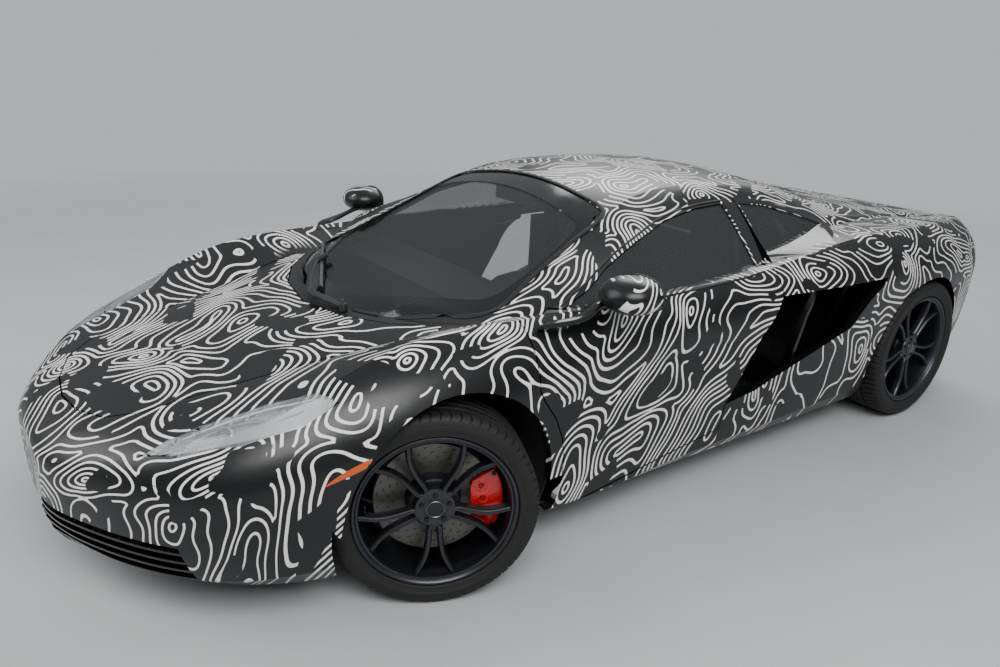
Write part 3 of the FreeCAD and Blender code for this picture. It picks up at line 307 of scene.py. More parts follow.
def glassMaterial(name, dark, light, alpha, ior=1.5):
    # tempered pane: clear enough to see in, with a sharp sky reflection at a slant
    made, tree, shader, place = newMaterial(name)
    haze = noise(tree, place, 5.0, 3.0)
    coloured(tree, shader, haze, dark, light, (0.0, 0.03))
    shader.inputs["Alpha"].default_value = alpha
    shader.inputs["IOR"].default_value = ior
    return made


pane = glassMaterial("green_tinted_window_glass", "#141a19", "#1a211f", 0.36, 2.2)
lampGlass = glassMaterial("hard_coated_lamp_cover", "#c9ced1", "#d8dcde", 0.16, 2.4)
redLamp = plain("red_lamp_lens", "#7a0608", "#98090b", (0.08, 0.14))

finish = {
    "wrap": vinyl, "black_trim": trimBlack, "gloss_black": glossBlack, "glass": pane, "lamp": lampGlass,
    "lamp_red": redLamp, "carbon": darkCarbon, "aluminium": castAluminium, "dark_alloy": darkAlloy,
    "tyre": rubber, "caliper_red": redPaint, "steel": steelMatt,
    "leather": leather, "liner": linerFelt,
}
for entry in frame["record"]["subparts"]:
    mesh = nodes[entry["node"]].data
    mesh.materials.clear()
    mesh.materials.append(finish[entry["material_slot"]])
print("materials on the CAD nodes")


# Mesh makers

def shaded(obj, degrees=32):
    # smooth faces with creases at the sharp edges
    obj.data.shade_smooth()
    obj.data.set_sharp_from_angle(angle=math.radians(degrees))
    return obj


def meshPiece(name, verts, faces, material, place=None):
    mesh = bpy.data.meshes.new(name)
    mesh.from_pydata([tuple(v) for v in verts], [], faces)
    made = bpy.data.objects.new(name, mesh)
    bpy.context.scene.collection.objects.link(made)
    if place is not None:
        mesh.transform(place)
    mesh.materials.append(material)
    mesh.update()
    return shaded(made)


def gridFaces(rows, count, ringed=True, looped=False):
    # quads between rows of points: ringed closes each row, looped joins the last row to the first
    return [(i * count + j, i * count + (j + 1) % count, (i + 1) % rows * count + (j + 1) % count,
             (i + 1) % rows * count + j)
            for i in range(rows if looped else rows - 1) for j in range(count if ringed else count - 1)]


def outward(obj):
    # face every closed shell outward
    work = bmesh.new()
    work.from_mesh(obj.data)
    bmesh.ops.recalc_face_normals(work, faces=work.faces)
    work.to_mesh(obj.data)
    work.free()
    return obj


def bevelled(obj, width, segments=2, degrees=35):
    made = obj.modifiers.new("edges", "BEVEL")
    made.width, made.segments, made.limit_method = width, segments, "ANGLE"
    made.angle_limit, made.harden_normals = math.radians(degrees), False
    return obj


def lathe(name, profile, count, material, place=None, closed=True, shift=None):
    # turns (along the axle, radius) points about the local Y axis; shift moves a point in or out
    verts = []
    for i in range(count):
        for j, (y, r) in enumerate(profile):
            turn, sink = (0.0, 0.0) if shift is None else shift(i, j)
            a = 2 * math.pi * i / count + turn
            verts.append(((r - sink) * math.cos(a), y, (r - sink) * math.sin(a)))
    return outward(meshPiece(name, verts, gridFaces(count, len(profile), closed, True), material, place))


def smoothPath(points, steps=6, loop=False):
    # Catmull-Rom through the points
    points = [Vector(p) for p in points]
    count = len(points)
    made = []
    for i in range(count if loop else count - 1):
        p1, p2 = points[i], points[(i + 1) % count]
        p0 = points[i - 1] if loop or i > 0 else p1 * 2 - p2
        p3 = points[(i + 2) % count] if loop or i < count - 2 else p2 * 2 - p1
        for k in range(steps):
            t = k / steps
            made.append(0.5 * (2 * p1 + (p2 - p0) * t + (2 * p0 - 5 * p1 + 4 * p2 - p3) * t * t
                               + (3 * p1 - p0 - 3 * p2 + p3) * t ** 3))
    if not loop:
        made.append(points[-1])
    return made


def swept(name, path, section, material, place=None, normal=None, loop=False, grow=None):
    # carries a closed (across, out) section along a path; normal tells which way is out at each point
    verts = []
    count, rows = len(path), len(section)
    for i, p in enumerate(path):
        ahead = path[(i + 1) % count] if loop or i < count - 1 else path[i]
        behind = path[i - 1] if loop or i > 0 else path[0]
        along = (ahead - behind).normalized()
        out = normal(i, p) if callable(normal) else Vector(normal or (0, 0, 1))
        across = along.cross(out).normalized()
        out = across.cross(along).normalized()
        size = grow(i / max(1, count - 1)) if grow else (1.0, 1.0)
        for a, b in section:
            verts.append(p + across * a * size[0] + out * b * size[1])
    faces = gridFaces(count, rows, True, loop)
    if not loop:
        faces += [tuple(range(rows))[::-1], tuple((count - 1) * rows + j for j in range(rows))]
    return outward(meshPiece(name, verts, faces, material, place))


def roundSection(wide, high, count=12, power=2.0):
    # a rounded closed section, squarer with a higher power
    made = []
    for i in range(count):
        a = 2 * math.pi * (i + 0.5) / count
        c, d = math.cos(a), math.sin(a)
        made.append((math.copysign(abs(c) ** (2 / power), c) * wide / 2,
                     math.copysign(abs(d) ** (2 / power), d) * high / 2))
    return made


def slabPiece(name, outline, low, high, material, place=None, bevel=0.002):
    # a closed (u, v) outline between two levels of w, bevelled; place turns u, v, w to the car
    count = len(outline)
    verts = [(u, v, low) for u, v in outline] + [(u, v, high) for u, v in outline]
    faces = [tuple(range(count))[::-1], tuple(range(count, 2 * count))]
    faces += [(i, (i + 1) % count, count + (i + 1) % count, count + i) for i in range(count)]
    made = outward(meshPiece(name, verts, faces, material, place))
    return bevelled(made, bevel) if bevel else made


def mirroredRow(half):
    # a row that ends on the middle line, carried on by its mirror image
    return half + [(-a, b) for a, b in reversed(half[:-1])]


def mirroredLoop(half):
    # a half outline with both ends on the centre line, closed round the other side
    return half + [(x, -y) for x, y in reversed(half[1:-1])]


def boxOutline(u0, u1, v0, v1):
    return [(u0, v0), (u1, v0), (u1, v1), (u0, v1)]


def merged(name, *pieces):
    # one object from several, modifiers applied
    graph = bpy.context.evaluated_depsgraph_get()
    work = bmesh.new()
    materials = []
    for piece in pieces:
        mesh = bpy.data.meshes.new_from_object(piece.evaluated_get(graph))
        mesh.transform(piece.matrix_world)
        shift = {}
        for i, m in enumerate(mesh.materials):
            if m not in materials:
                materials.append(m)
            shift[i] = materials.index(m)
        for face in mesh.polygons:
            face.material_index = shift.get(face.material_index, 0)
        work.from_mesh(mesh)
        bpy.data.meshes.remove(mesh)
    for piece in pieces:
        bpy.data.objects.remove(piece)
    mesh = bpy.data.meshes.new(name)
    work.to_mesh(mesh)
    work.free()
    for m in materials:
        mesh.materials.append(m)
    made = bpy.data.objects.new(name, mesh)
    bpy.context.scene.collection.objects.link(made)
    return shaded(made)


def surfaceOf(*names):
    # a tree of the named CAD nodes, to lay trim on them
    verts, faces = [], []
    for name in names:
        start = len(verts)
        mesh = nodes[name].data
        verts += [v.co.copy() for v in mesh.vertices]
        faces += [tuple(start + i for i in face.vertices) for face in mesh.polygons]
    return BVHTree.FromPolygons(verts, faces)


def laid(tree, points, way="down", lift=0.001):
    # drops points on the surface: (x, y) from above, (x, z) from the left, (y, z) from the front or the back
    made = []
    for a, b in points:
        start, ray = {
            "down": (Vector((a, b, 3)), Vector((0, 0, -1))), "left": (Vector((a, 3, b)), Vector((0, -1, 0))),
            "front": (Vector((3, a, b)), Vector((-1, 0, 0))), "back": (Vector((-3, a, b)), Vector((1, 0, 0))),
        }[way]
        spot, normal, face, far = tree.ray_cast(start, ray)
        if spot is None:
            spot, normal, face, far = tree.find_nearest(start + ray * 2.2)
        if normal.dot(ray) > 0:
            normal = -normal
        made.append((spot + normal * lift, normal))
    return made


def flip(sign):
    return Matrix.Diagonal((1, sign, 1, 1))


sides = ((1, "left"), (-1, "right"))
# outlines drawn as (x, z) with their thickness along y, and as (y, z) with it along x
alongY = Matrix(((1, 0, 0, 0), (0, 0, 1, 0), (0, 1, 0, 0), (0, 0, 0, 1)))
alongX = Matrix(((0, 0, 1, 0), (1, 0, 0, 0), (0, 1, 0, 0), (0, 0, 0, 1)))


# Wheels: sizes of the CAD in metres
wheel = {
    "front": {"tyre": 0.3235, "rim": 0.2413, "wide": 0.235, "disc": 0.185},
    "rear": {"tyre": 0.3455, "rim": 0.254, "wide": 0.3, "disc": 0.175},
    "pitches": 66, "grooves": (0.215, 0.075), "grooveWide": 0.0095, "grooveDepth": 0.0055, "faceSink": 0.034,
         "spokeWide": 0.0185, "spokeDeep": 0.03,
    "kingpin": (1.2295, 0.758, 0.3235), "inset": 0.07, "steer": -25.0, "rearHub": (-1.4405, 0.7915, 0.3455),
}


def wheelPlace(end, sign):
    turn = Matrix.Rotation(math.pi, 4, "Z") if sign < 0 else Matrix.Identity(4)
    x, y, z = wheel["kingpin" if end == "front" else "rearHub"]
    hub = Matrix.Translation((x, sign * y, z))
    if end == "front":
        steer = Matrix.Rotation(math.radians(wheel["steer"]), 4, "Z")
        return hub @ steer @ turn @ Matrix.Translation((0, wheel["inset"], 0))
    return hub @ turn


def tyreMaterial():
    # vulcanised rubber, dull, a little grey dust on the tread and faint mould rings on the wall
    made, tree, shader, place = newMaterial("vulcanised_rubber")
    dust = noise(tree, place, 18.0, 6.0, 0.7)
    coloured(tree, shader, ramp(tree, dust, 0.35, 0.75), "#0c0c0d", "#1b1a1a")
    tree.links.new(ramp(tree, dust, 0.3, 0.7, 0.58, 0.78), shader.inputs["Roughness"])
    bumped(tree, shader, noise(tree, place, 600.0, 3.0), 0.00012)
    return made


def tyrePiece(name, end, place, material):
    size = wheel[end]
    R, rim, W = size["tyre"], size["rim"], size["wide"]
    half = [(share * W, rim + up) for share, up in (
        (0.425, 0.0005), (0.427, 0.006), (0.432, 0.0125), (0.452, 0.0155), (0.470, 0.0165), (0.480, 0.0195),
        (0.478, 0.0225), (0.482, 0.0255))]
    half += [(share * W, R - down) for share, down in (
        (0.489, 0.0500), (0.4945, 0.0440), (0.4965, 0.0435), (0.4985, 0.0400), (0.4980, 0.0330),
        (0.4955, 0.0325), (0.4905, 0.0240), (0.4850, 0.0175), (0.4740, 0.0115), (0.4580, 0.0070),
        (0.4350, 0.0040), (0.4000, 0.0024), (0.3400, 0.0012), (0.2800, 0.0006))]
    groove = wheel["grooveDepth"]
    wide = wheel["grooveWide"] / W / 2
    for centre in wheel["grooves"]:
        half += [((centre + aside) * W, R - down) for aside, down in (
            (wide + 0.006, 0.0003), (wide, 0.0004), (wide * 0.7, groove),
            (-wide * 0.7, groove), (-wide, 0.0002), (-wide - 0.006, 0.0001))]
    profile = half + [(-y, r) for y, r in reversed(half)]
    steps = (0.0, 0.03, 0.13, 0.16, 0.58)
    pitches = wheel["pitches"] if end == "front" else wheel["pitches"] + 4
    count = pitches * len(steps)

    def shift(i, j):
        y, r = profile[j]
        share = abs(y) / W
        pitch, step = divmod(i, len(steps))
        angle = 2 * math.pi * (pitch + steps[step]) / pitches - 2 * math.pi * i / count
        skew = 0.075 * math.sin(max(0.0, share - 0.2) * 8.0)
        cut = 0.0
        if step in (1, 2) and r > R - 0.02 and 0.235 < share:
            cut = groove * min(1.0, (r - (R - 0.02)) / 0.012)
        if step in (1, 2) and share < 0.19 and 0.1 < share:
            cut = max(0.0, groove * 0.6 - (R - r))
        return angle + skew * (1 if r > R - 0.06 else 0), cut
    return lathe(name, profile, count, material, place, True, shift)


def rimPieces(end, sign, tag, body):
    size = wheel[end]
    R, W, D = size["rim"], size["wide"], size["disc"]
    name, place = end + "_" + tag, wheelPlace(end, sign)
    face, out = 0.5 * W - wheel["faceSink"], 0.47 * W
    profile = [(out - 0.0015, R + 0.012), (out, R + 0.0095), (out, R + 0.0045), (out - 0.003, R + 0.001),
               (out - 0.009, R - 0.002), (out - 0.011, R - 0.0075), (out - 0.015, R - 0.0095),
               (face - 0.03, R - 0.0105), (-0.3 * W, R - 0.01), (-0.44 * W, R - 0.006),
               (-out, R + 0.001), (-out, R + 0.011), (-out + 0.003, R + 0.012), (-0.432 * W, R + 0.0118),
               (-0.43 * W, R + 0.0005), (0.43 * W, R + 0.0005), (0.432 * W, R + 0.0118)]
    pieces = [lathe("barrel", profile, 96, darkAlloy)]
    tip = R - 0.0085
    path = [(-0.063, tip), (-0.054, tip - 0.018), (-0.037, tip - 0.046), (-0.0245, tip - 0.08),
            (-0.019, tip - 0.115),
            (-0.0165, 0.086), (-0.015, 0.07), (-0.009, 0.06), (0.0, 0.057)]
    wide, deep = wheel["spokeWide"], wheel["spokeDeep"]
    section = [(-wide / 2, -deep), (-wide / 2, -0.008), (-wide / 2 + 0.0016, -0.0035),
               (-wide / 2 + 0.0042, -0.0006),
               (0.0, -0.0028), (wide / 2 - 0.0042, -0.0006), (wide / 2 - 0.0016, -0.0035), (wide / 2, -0.008),
               (wide / 2, -deep)]
    for k in range(5):
        turn = Matrix.Rotation(2 * math.pi * (k + 0.5) / 5, 4, "Y")
        line = [Vector((p.x, face - 0.004 + 0.012 * max(0.0, (p.z - 0.06) / (tip - 0.06)) ** 1.5, p.z))
                for p in smoothPath([(a, 0, b) for a, b in mirroredRow(path)], 5)]
        pieces.append(swept("spoke", line, section, darkAlloy, turn, normal=(0, 1, 0)))
    # hub with its dished middle, the ring and dome of the blank cap: (along from the spokes' face, radius)
    for part, count, material, rows in (
            ("hub", 72, darkAlloy, ((-0.034, 0.0005), (-0.034, 0.064), (-0.010, 0.064), (-0.0055, 0.0610),
                                    (-0.0045, 0.0550),
                                    (-0.0065, 0.0380), (-0.0040, 0.0335), (-0.0035, 0.0290),
                                    (-0.0060, 0.0285),
                                    (-0.0060, 0.0005))),
            ("cap_ring", 64, steelMatt, ((-0.006, 0.0284), (0.0012, 0.0280), (0.0020, 0.0268),
                                         (0.0012, 0.0258),
                                         (-0.002, 0.0254))),
            ("cap", 48, glossBlack, ((-0.002, 0.0258), (0.0006, 0.0250), (0.0022, 0.0180), (0.0030, 0.0090),
                                     (0.0032, 0.0004)))):
        pieces.append(lathe(part, [(face + y, r) for y, r in rows], count, material, closed=False))
    for k in range(5):
        a = 2 * math.pi * k / 5 + math.pi / 2
        spot = Matrix.Translation((0.046 * math.cos(a), face - 0.012, 0.046 * math.sin(a)))
        cone = [(0.0, 0.0105), (0.0065, 0.01), (0.007, 0.0066), (0.0135, 0.0062), (0.0145, 0.0052),
                (0.0145, 0.0002)]
        pieces.append(lathe("bolt", cone, 12, steelDark, spot, closed=False))
    stem = [(0.0, 0.0048), (0.004, 0.0048), (0.006, 0.003), (0.026, 0.0028), (0.028, 0.0022), (0.028, 0.0002)]
    pieces.append(lathe("valve", stem, 12, trimBlack, Matrix.Translation((R - 0.03, out - 0.045, 0.012)),
                        closed=False))
    rim = merged("wheel_rim_" + name, *pieces)
    rim.data.transform(place)
    disc = [(-0.02, 0.088), (-0.02, D - 0.001), (-0.019, D), (-0.0105, D), (-0.01, D - 0.003),
            (-0.01, D - 0.03), (0.0000, D - 0.03), (0.0000, D - 0.003), (0.0005, D), (0.009, D),
            (0.01, D - 0.001),
            (0.01, 0.112), (0.0092, 0.11), (0.0092, 0.088)]
    rotor = lathe("brake_disc_" + name, disc, 120, brakeIron)
    hat = [(-0.02, 0.089), (0.009, 0.089), (0.02, 0.0835), (face - 0.04, 0.082), (face - 0.035, 0.078),
           (face - 0.034, 0.064), (face - 0.038, 0.02), (-0.02, 0.02)]
    both = merged("brake_disc_" + name, rotor, lathe("hat", hat, 72, steelDark))
    both.matrix_world = place
    bpy.context.view_layer.update()
    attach(rim, body)
    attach(both, body)
    return rim, both


# oiled dark steel of bolts and disc hats
steelDark = plain("oiled_dark_steel", "#232427", "#34363a", (0.38, 0.5), metal=0.8, scale=120.0)


def ironMaterial():
    # ground cast iron: fine lathe rings and rows of drilled holes, read in the disc's own axes; the holes are
    # not cut but painted near black as painted shade
    made, tree, shader, place = newMaterial("ground_brake_iron")
    split = node(tree, "SeparateXYZ", {0: place}).outputs
    x, z = split[0], split[2]
    radius = node(tree, "VectorMath", {0: node(tree, "CombineXYZ", {0: x, 1: z}).outputs[0]},
                  operation="LENGTH").outputs["Value"]
    angle = maths(tree, "ARCTAN2", z, x)
    # holes in curved rows: the row's angle leads with the radius
    lead = maths(tree, "MULTIPLY_ADD", radius, -9.0, angle)
    row, column = centred(tree, lead, 24 / (2 * math.pi)), centred(tree, radius, 1 / 0.0165)
    across = maths(tree, "MULTIPLY", maths(tree, "MULTIPLY", row, radius), 2 * math.pi / 24)
    along = maths(tree, "MULTIPLY", column, 0.0165)
    spot = node(tree, "VectorMath", {0: node(tree, "CombineXYZ", {0: across, 1: along}).outputs[0]},
                operation="LENGTH").outputs["Value"]
    hole = ramp(tree, spot, 0.0034, 0.0028)
    band = maths(tree, "GREATER_THAN", radius, 0.118)
    hole = maths(tree, "MULTIPLY", hole, band)
    rings = noise(tree, node(tree, "CombineXYZ", {0: radius}).outputs[0], 900.0, 2.0)
    base = mixed(tree, rings, linear("#5d5c5a"), linear("#77756f"))
    # painted shade: the drilled holes coloured near black
    tree.links.new(mixed(tree, hole, base, linear("#08080a")), shader.inputs["Base Color"])
    tree.links.new(ramp(tree, rings, 0.3, 0.7, 0.34, 0.46), shader.inputs["Roughness"])
    tree.links.new(ramp(tree, hole, 0.0, 1.0, 0.9, 0.0), shader.inputs["Metallic"])
    bumped(tree, shader, maths(tree, "MULTIPLY_ADD", hole, -6.0, rings), 0.0003)
    return made


brakeIron = ironMaterial()
treadRubber = tyreMaterial()


def addWheels():
    for end in ("front", "rear"):
        for sign, tag in sides:
            body = "wheel_%s_%s" % (end, tag)
            rim, disc = rimPieces(end, sign, tag, body)
            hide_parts("rim_%s_%s" % (end, tag))
            tyre = tyrePiece("tyre_%s_%s_tread" % (end, tag), end, wheelPlace(end, sign), treadRubber)
            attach(tyre, body)
            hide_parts("tyre_%s_%s" % (end, tag))


addWheels()
print("wheels dressed")


# Brake calipers: fixed blocks that straddle the disc behind the front axle and before the rear one
caliper = {"reach": 0.115, "top": 0.0235, "span": 29.0, "face": 0.0385, "back": -0.052, "bolt": 0.0065}


def caliperPiece(end, sign, tag, material):
    size = wheel[end]
    outer, inner = size["rim"] - caliper["top"], size["disc"] - 0.07
    toRear = 1 if end == "front" else -1
    span = math.radians(caliper["span"])
    pieces = []

    def sector(name, y0, y1, r0, r1, a0, a1, count=14, waist=0.0, fill=material, bevel=0.004):
        verts = []
        for i in range(count + 1):
            t = i / count
            a = a0 + (a1 - a0) * t
            pinch = waist * (2 * t - 1) ** 4
            for y, r in ((y0, r0 + pinch), (y1, r0 + pinch), (y1, r1 - pinch * 0.25),
                         (y0, r1 - pinch * 0.25)):
                verts.append((-math.cos(a) * r, y, math.sin(a) * r))
        faces = gridFaces(count + 1, 4) + [(0, 1, 2, 3), tuple(count * 4 + j for j in (3, 2, 1, 0))]
        pieces.append(bevelled(outward(meshPiece(name, verts, faces, fill)), bevel, 3, 30))

    def onArc(a, r, y, rise=0.0):
        return Matrix.Translation((-math.cos(a) * r, y, math.sin(a) * r + rise))

    edge = size["disc"] + 0.0065
    sector("outer_half", 0.0175, caliper["face"], inner, outer, -span, span, waist=0.022)
    sector("inner_half", caliper["back"], -0.0275, inner, outer, -span, span, waist=0.022)
    for a in (-0.92, 0.92, -0.06):
        end0, end1 = span * a - 0.055, span * a + 0.055 + (0.012 if a < -0.5 else 0)
        sector("bridge", -0.03, 0.02, edge, outer - 0.001, end0, end1, 4, bevel=0.002)
    # piston domes, body bolts and a bleed screw
    for a in (-0.6, 0.0, 0.6):
        spot = onArc(span * a, (inner + size["disc"]) / 2 + 0.004, caliper["face"] - 0.001)
        dome = [(-0.004, 0.0205), (0.0012, 0.02), (0.0026, 0.018), (0.0022, 0.012), (0.001, 0.0105),
                (0.001, 0.0002)]
        pieces.append(lathe("dome", dome, 28, material, spot, closed=False))
    for a in (-0.88, 0.88):
        spot, bolt = onArc(span * a, outer - 0.013, caliper["face"]), caliper["bolt"]
        head = [(-0.001, bolt), (0.0045, bolt), (0.0055, bolt - 0.001), (0.0055, 0.0035), (0.0015, 0.0032),
                (0.0015, 0.0002)]
        pieces.append(lathe("bolt", head, 18, steelDark, spot, closed=False))
    bleed = [(-0.008, 0.0042), (0.004, 0.004), (0.005, 0.0028), (0.011, 0.0026), (0.012, 0.0002)]
    spot = onArc(span, outer - 0.03, 0.026, 0.004) @ Matrix.Rotation(math.pi / 2, 4, "X")
    pieces.append(lathe("bleed", bleed, 10, rubberCap, spot, closed=False))
    # pads seen at both ends of the window
    for y0, y1 in ((0.0105, 0.0172), (-0.0272, -0.0205)):
        sector("pad", y0, y1, inner + 0.008, size["disc"] - 0.001, -span * 0.78, span * 0.78, 10,
               fill=steelDark,
               bevel=0.001)
    made = merged("%s_caliper_%s_cast" % (end, tag), *pieces)
    made.data.transform(wheelPlace(end, sign) @ Matrix.Diagonal((toRear * sign, 1, 1, 1)))
    outward(made)
    return shaded(made, 40)


# soft cap on the bleed screws
rubberCap = plain("nitrile_cap", "#0e0e0f", "#161617", (0.5, 0.6))


def addCalipers():
    rear = []
    for sign, tag in sides:
        front = caliperPiece("front", sign, tag, redPaint)
        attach(front, "knuckle_" + tag)
        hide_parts("front_caliper_" + tag)
        rear.append(caliperPiece("rear", sign, tag, darkPaint))
    both = merged("rear_calipers_cast", *rear)
    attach(both, "car_body")
    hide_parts("rear_calipers")


addCalipers()
print("calipers cast")


# Headlamps: a clear cover over a bowl with a lens, a chrome sweep and a light strip
lampOutline = [(2.0415, 0.56), (1.9645, 0.656), (1.8215, 0.752), (1.6695, 0.806), (1.5595, 0.812),
               (1.6095, 0.74), (1.6995, 0.652), (1.8695, 0.59)]
lamp = {"depth": 0.052, "cover": 0.003, "rings": 9}


def chromeMaterial():
    # vacuum-metallised plastic: a soft mirror with faint ripples
    made, tree, shader, place = newMaterial("metallised_reflector")
    wave = noise(tree, place, 30.0, 2.0)
    coloured(tree, shader, wave, "#c9ccd0", "#e2e4e6", (0.12, 0.22), 1.0)
    bumped(tree, shader, wave, 0.0006)
    return made


chrome = chromeMaterial()
# matt silver moulding inside the lamp
lampSilver = plain("silver_lamp_moulding", "#9fa3a8", "#b9bcc0", (0.3, 0.45), metal=0.6, scale=25.0)
# frosted diffuser of the light strip
lampStrip = plain("frosted_light_guide", "#d5d9dc", "#e6e9eb", (0.35, 0.5), scale=60.0)


def insideGrid(outline, rings):
    # closed rings from the outline in to its spine
    spine0, spine1 = Vector((1.655, 0.745)), Vector((1.935, 0.606))
    made = []
    for k in range(rings + 1):
        t = k / rings
        row = []
        for p in outline:
            q = Vector(p[:2])
            axis = spine1 - spine0
            s = min(1.0, max(0.0, (q - spine0).dot(axis) / axis.length_squared))
            row.append(q.lerp(spine0 + axis * s, t))
        made.append(row)
    return made


def lampShell(tree, sign, name, sink, lift, material, shrink=0.0):
    rim = smoothPath([(a, b, 0) for a, b in lampOutline], 6, loop=True)
    rows = insideGrid([(p.x, p.y) for p in rim], lamp["rings"])
    verts = []
    for k, row in enumerate(rows):
        t = shrink + (1 - shrink) * k / lamp["rings"]
        for p, (spot, normal) in zip(row, laid(tree, [tuple(q) for q in row], "down", lift)):
            verts.append(spot - normal * sink * min(1.0, (t * 2.2)) ** 0.7)
    return meshPiece(name, verts, gridFaces(len(rows), len(rim)), material, flip(sign))


def addLamps():
    tree = surfaceOf("headlamps")
    covers, insides = [], []
    for sign in (1, -1):
        cover = lampShell(tree, sign, "cover", 0.0, -0.0008, lampGlass)
        thick = cover.modifiers.new("thick", "SOLIDIFY")
        thick.thickness, thick.offset = lamp["cover"], (-1 if sign > 0 else 1)
        covers.append(cover)
        insides.append(lampShell(tree, sign, "bowl", lamp["depth"], -0.006, lampSilver))

        def spotOn(x, y, deep):
            (p, n), = laid(tree, [(x, y)], "down", -deep)
            return Vector((p.x, p.y * sign, p.z))
        # main lens with its ring
        centre = spotOn(1.845, 0.655, 0.034)
        way = Vector((0.86, 0.3 * sign, 0.42)).to_track_quat("Y", "Z")
        aim = Matrix.Translation(centre) @ way.to_matrix().to_4x4()
        ring = [(-0.01, 0.0365), (0.004, 0.0365), (0.0065, 0.0345), (0.0055, 0.0315), (-0.004, 0.03),
                (-0.01, 0.03)]
        insides.append(lathe("ring", ring, 40, chrome, aim))
        glassBall = [(0.0185 * math.cos(math.pi * k / 16),
                      0.0295 * math.sin(math.pi * k / 16) + 0.0001) for k in range(9)]
        insides.append(lathe("lens", [(y - 0.004, r) for y, r in glassBall], 40, lensGlass, aim,
                             closed=False))
        # the chrome sweep that curls over the lens
        sweep = [(2.000, 0.59), (1.93, 0.612), (1.86, 0.612), (1.79, 0.632), (1.745, 0.672), (1.73, 0.712),
                 (1.765, 0.735)]
        line = [spotOn(x, y, 0.016 + 0.018 * (i / 6)) for i, (x, y) in enumerate(sweep)]
        insides.append(swept("sweep", smoothPath(line, 8), roundSection(0.022, 0.006, 10), chrome,
                             grow=lambda t: (0.35 + 1.3 * t * (1.15 - t), 1.0)))
        # the light strip along the inner edge
        strip = [(2.015, 0.575), (1.95, 0.586), (1.87, 0.604), (1.79, 0.628), (1.715, 0.664), (1.66, 0.712),
                 (1.615, 0.757)]
        line = [spotOn(x, y, 0.01) for x, y in strip]
        insides.append(swept("strip", smoothPath(line, 6), roundSection(0.007, 0.005, 8), lampStrip))
        # a slim fin towards the outer edge
        fin = [(1.955, 0.632), (1.88, 0.676), (1.8, 0.72), (1.72, 0.752), (1.65, 0.772)]
        line = [spotOn(x, y, 0.018) for x, y in fin]
        insides.append(swept("fin", smoothPath(line, 6), roundSection(0.004, 0.02, 8), lampSilver))
    cover = merged("lamp_covers", *covers)
    inside = merged("lamp_insides", *insides)
    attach(cover, "car_body")
    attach(inside, "car_body")
    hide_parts("headlamps")


# thick optical glass of the main lens
lensGlass = plain("dark_lens_glass", "#1a1d22", "#2a2e35", (0.03, 0.06), scale=8.0)
addLamps()
print("lamps built")


# Door mirrors: a wrapped cap, a black rim and glass facing back, on a thin wing-like arm
doorMirror = {"centre": (0.598, 0.9425, 0.912), "radii": (0.096, 0.103, 0.064), "root": (0.84, 0.862, 0.832)}


def mirrorGlassMaterial():
    # silvered glass, nearly a perfect mirror with a cool tint
    made, tree, shader, place = newMaterial("silvered_glass")
    wave = noise(tree, place, 4.0, 1.0)
    coloured(tree, shader, wave, "#c6cdd2", "#d3d9dd", (0.02, 0.05), 1.0)
    return made


silvered = mirrorGlassMaterial()


def mirrorPieces(sign, tag):
    cx, cy, cz = doorMirror["centre"]
    rx, ry, rz = doorMirror["radii"]

    def around(share):
        # a squarish round, flatter below
        c, d = math.cos(2 * math.pi * share), math.sin(2 * math.pi * share)
        c, d = math.copysign(abs(c) ** 0.86, c), math.copysign(abs(d) ** 0.86, d)
        return c, d, 1.0 if d > 0 else 0.88
    # the shell is cut flat behind and rounded ahead
    rows, count = 14, 40
    verts = []
    for i in range(rows + 1):
        t = i / rows
        u = -0.62 + 1.62 * t
        reach = math.sqrt(max(0.0, 1 - u * u)) if u > 0 else math.sqrt(1 - (u * 0.62) ** 2)
        reach = max(reach, 0.02)
        for k in range(count):
            c, d, lower = around(k / count)
            taper = 1.0 - 0.1 * max(0.0, -c)
            verts.append((cx + u * rx, cy + c * ry * reach, cz + d * rz * reach * lower * taper))
    faces = gridFaces(rows + 1, count) + [tuple(rows * count + k for k in range(count))]
    cap = outward(meshPiece("mirror_cap_" + tag, verts, faces, vinyl, flip(sign)))
    back = cx - 0.62 * rx
    ringPath = []
    for k in range(48):
        c, d, lower = around(k / 48)
        ringPath.append(Vector((back, cy + 0.93 * ry * c, cz + 0.9 * rz * d * lower)))
    rim = swept("rim", ringPath, roundSection(0.01, 0.012, 8), trimBlack, flip(sign), normal=(1, 0, 0),
                loop=True)
    glass = meshPiece("glass", [p + Vector((0.001, 0, 0)) for p in ringPath], [tuple(range(48))], silvered,
                      flip(sign))
    root = Vector(doorMirror["root"])
    arm = [root + Vector((0.02, -0.03, -0.014)), root, root + Vector((-0.085, 0.03, 0.014)),
           Vector((cx + 0.075, cy - 0.058, cz - 0.034)), Vector((cx + 0.02, cy - 0.04, cz - 0.036))]
    stalk = swept("arm", smoothPath(arm, 8), roundSection(0.046, 0.017, 14, 2.6), glossBlack, flip(sign),
                  normal=(0, 0, 1),
                  grow=lambda t: (1.35 - 0.7 * t, 1.2 - 0.3 * t))
    rest = merged("mirror_arm_" + tag, rim, glass, stalk)
    for piece, slot in ((cap, "wrap"), (rest, "gloss_black")):
        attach(piece, "door_" + tag)
    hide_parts("mirror_" + tag)


for sign, tag in sides:
    mirrorPieces(sign, tag)
print("door mirrors built")


# Wiper: an arm with its guide arm and one blade, parked along the foot of the screen
wiper = {"pivot": (1.262, 0.215, 0.776), "knee": (1.316, 0.0, 0.782)}


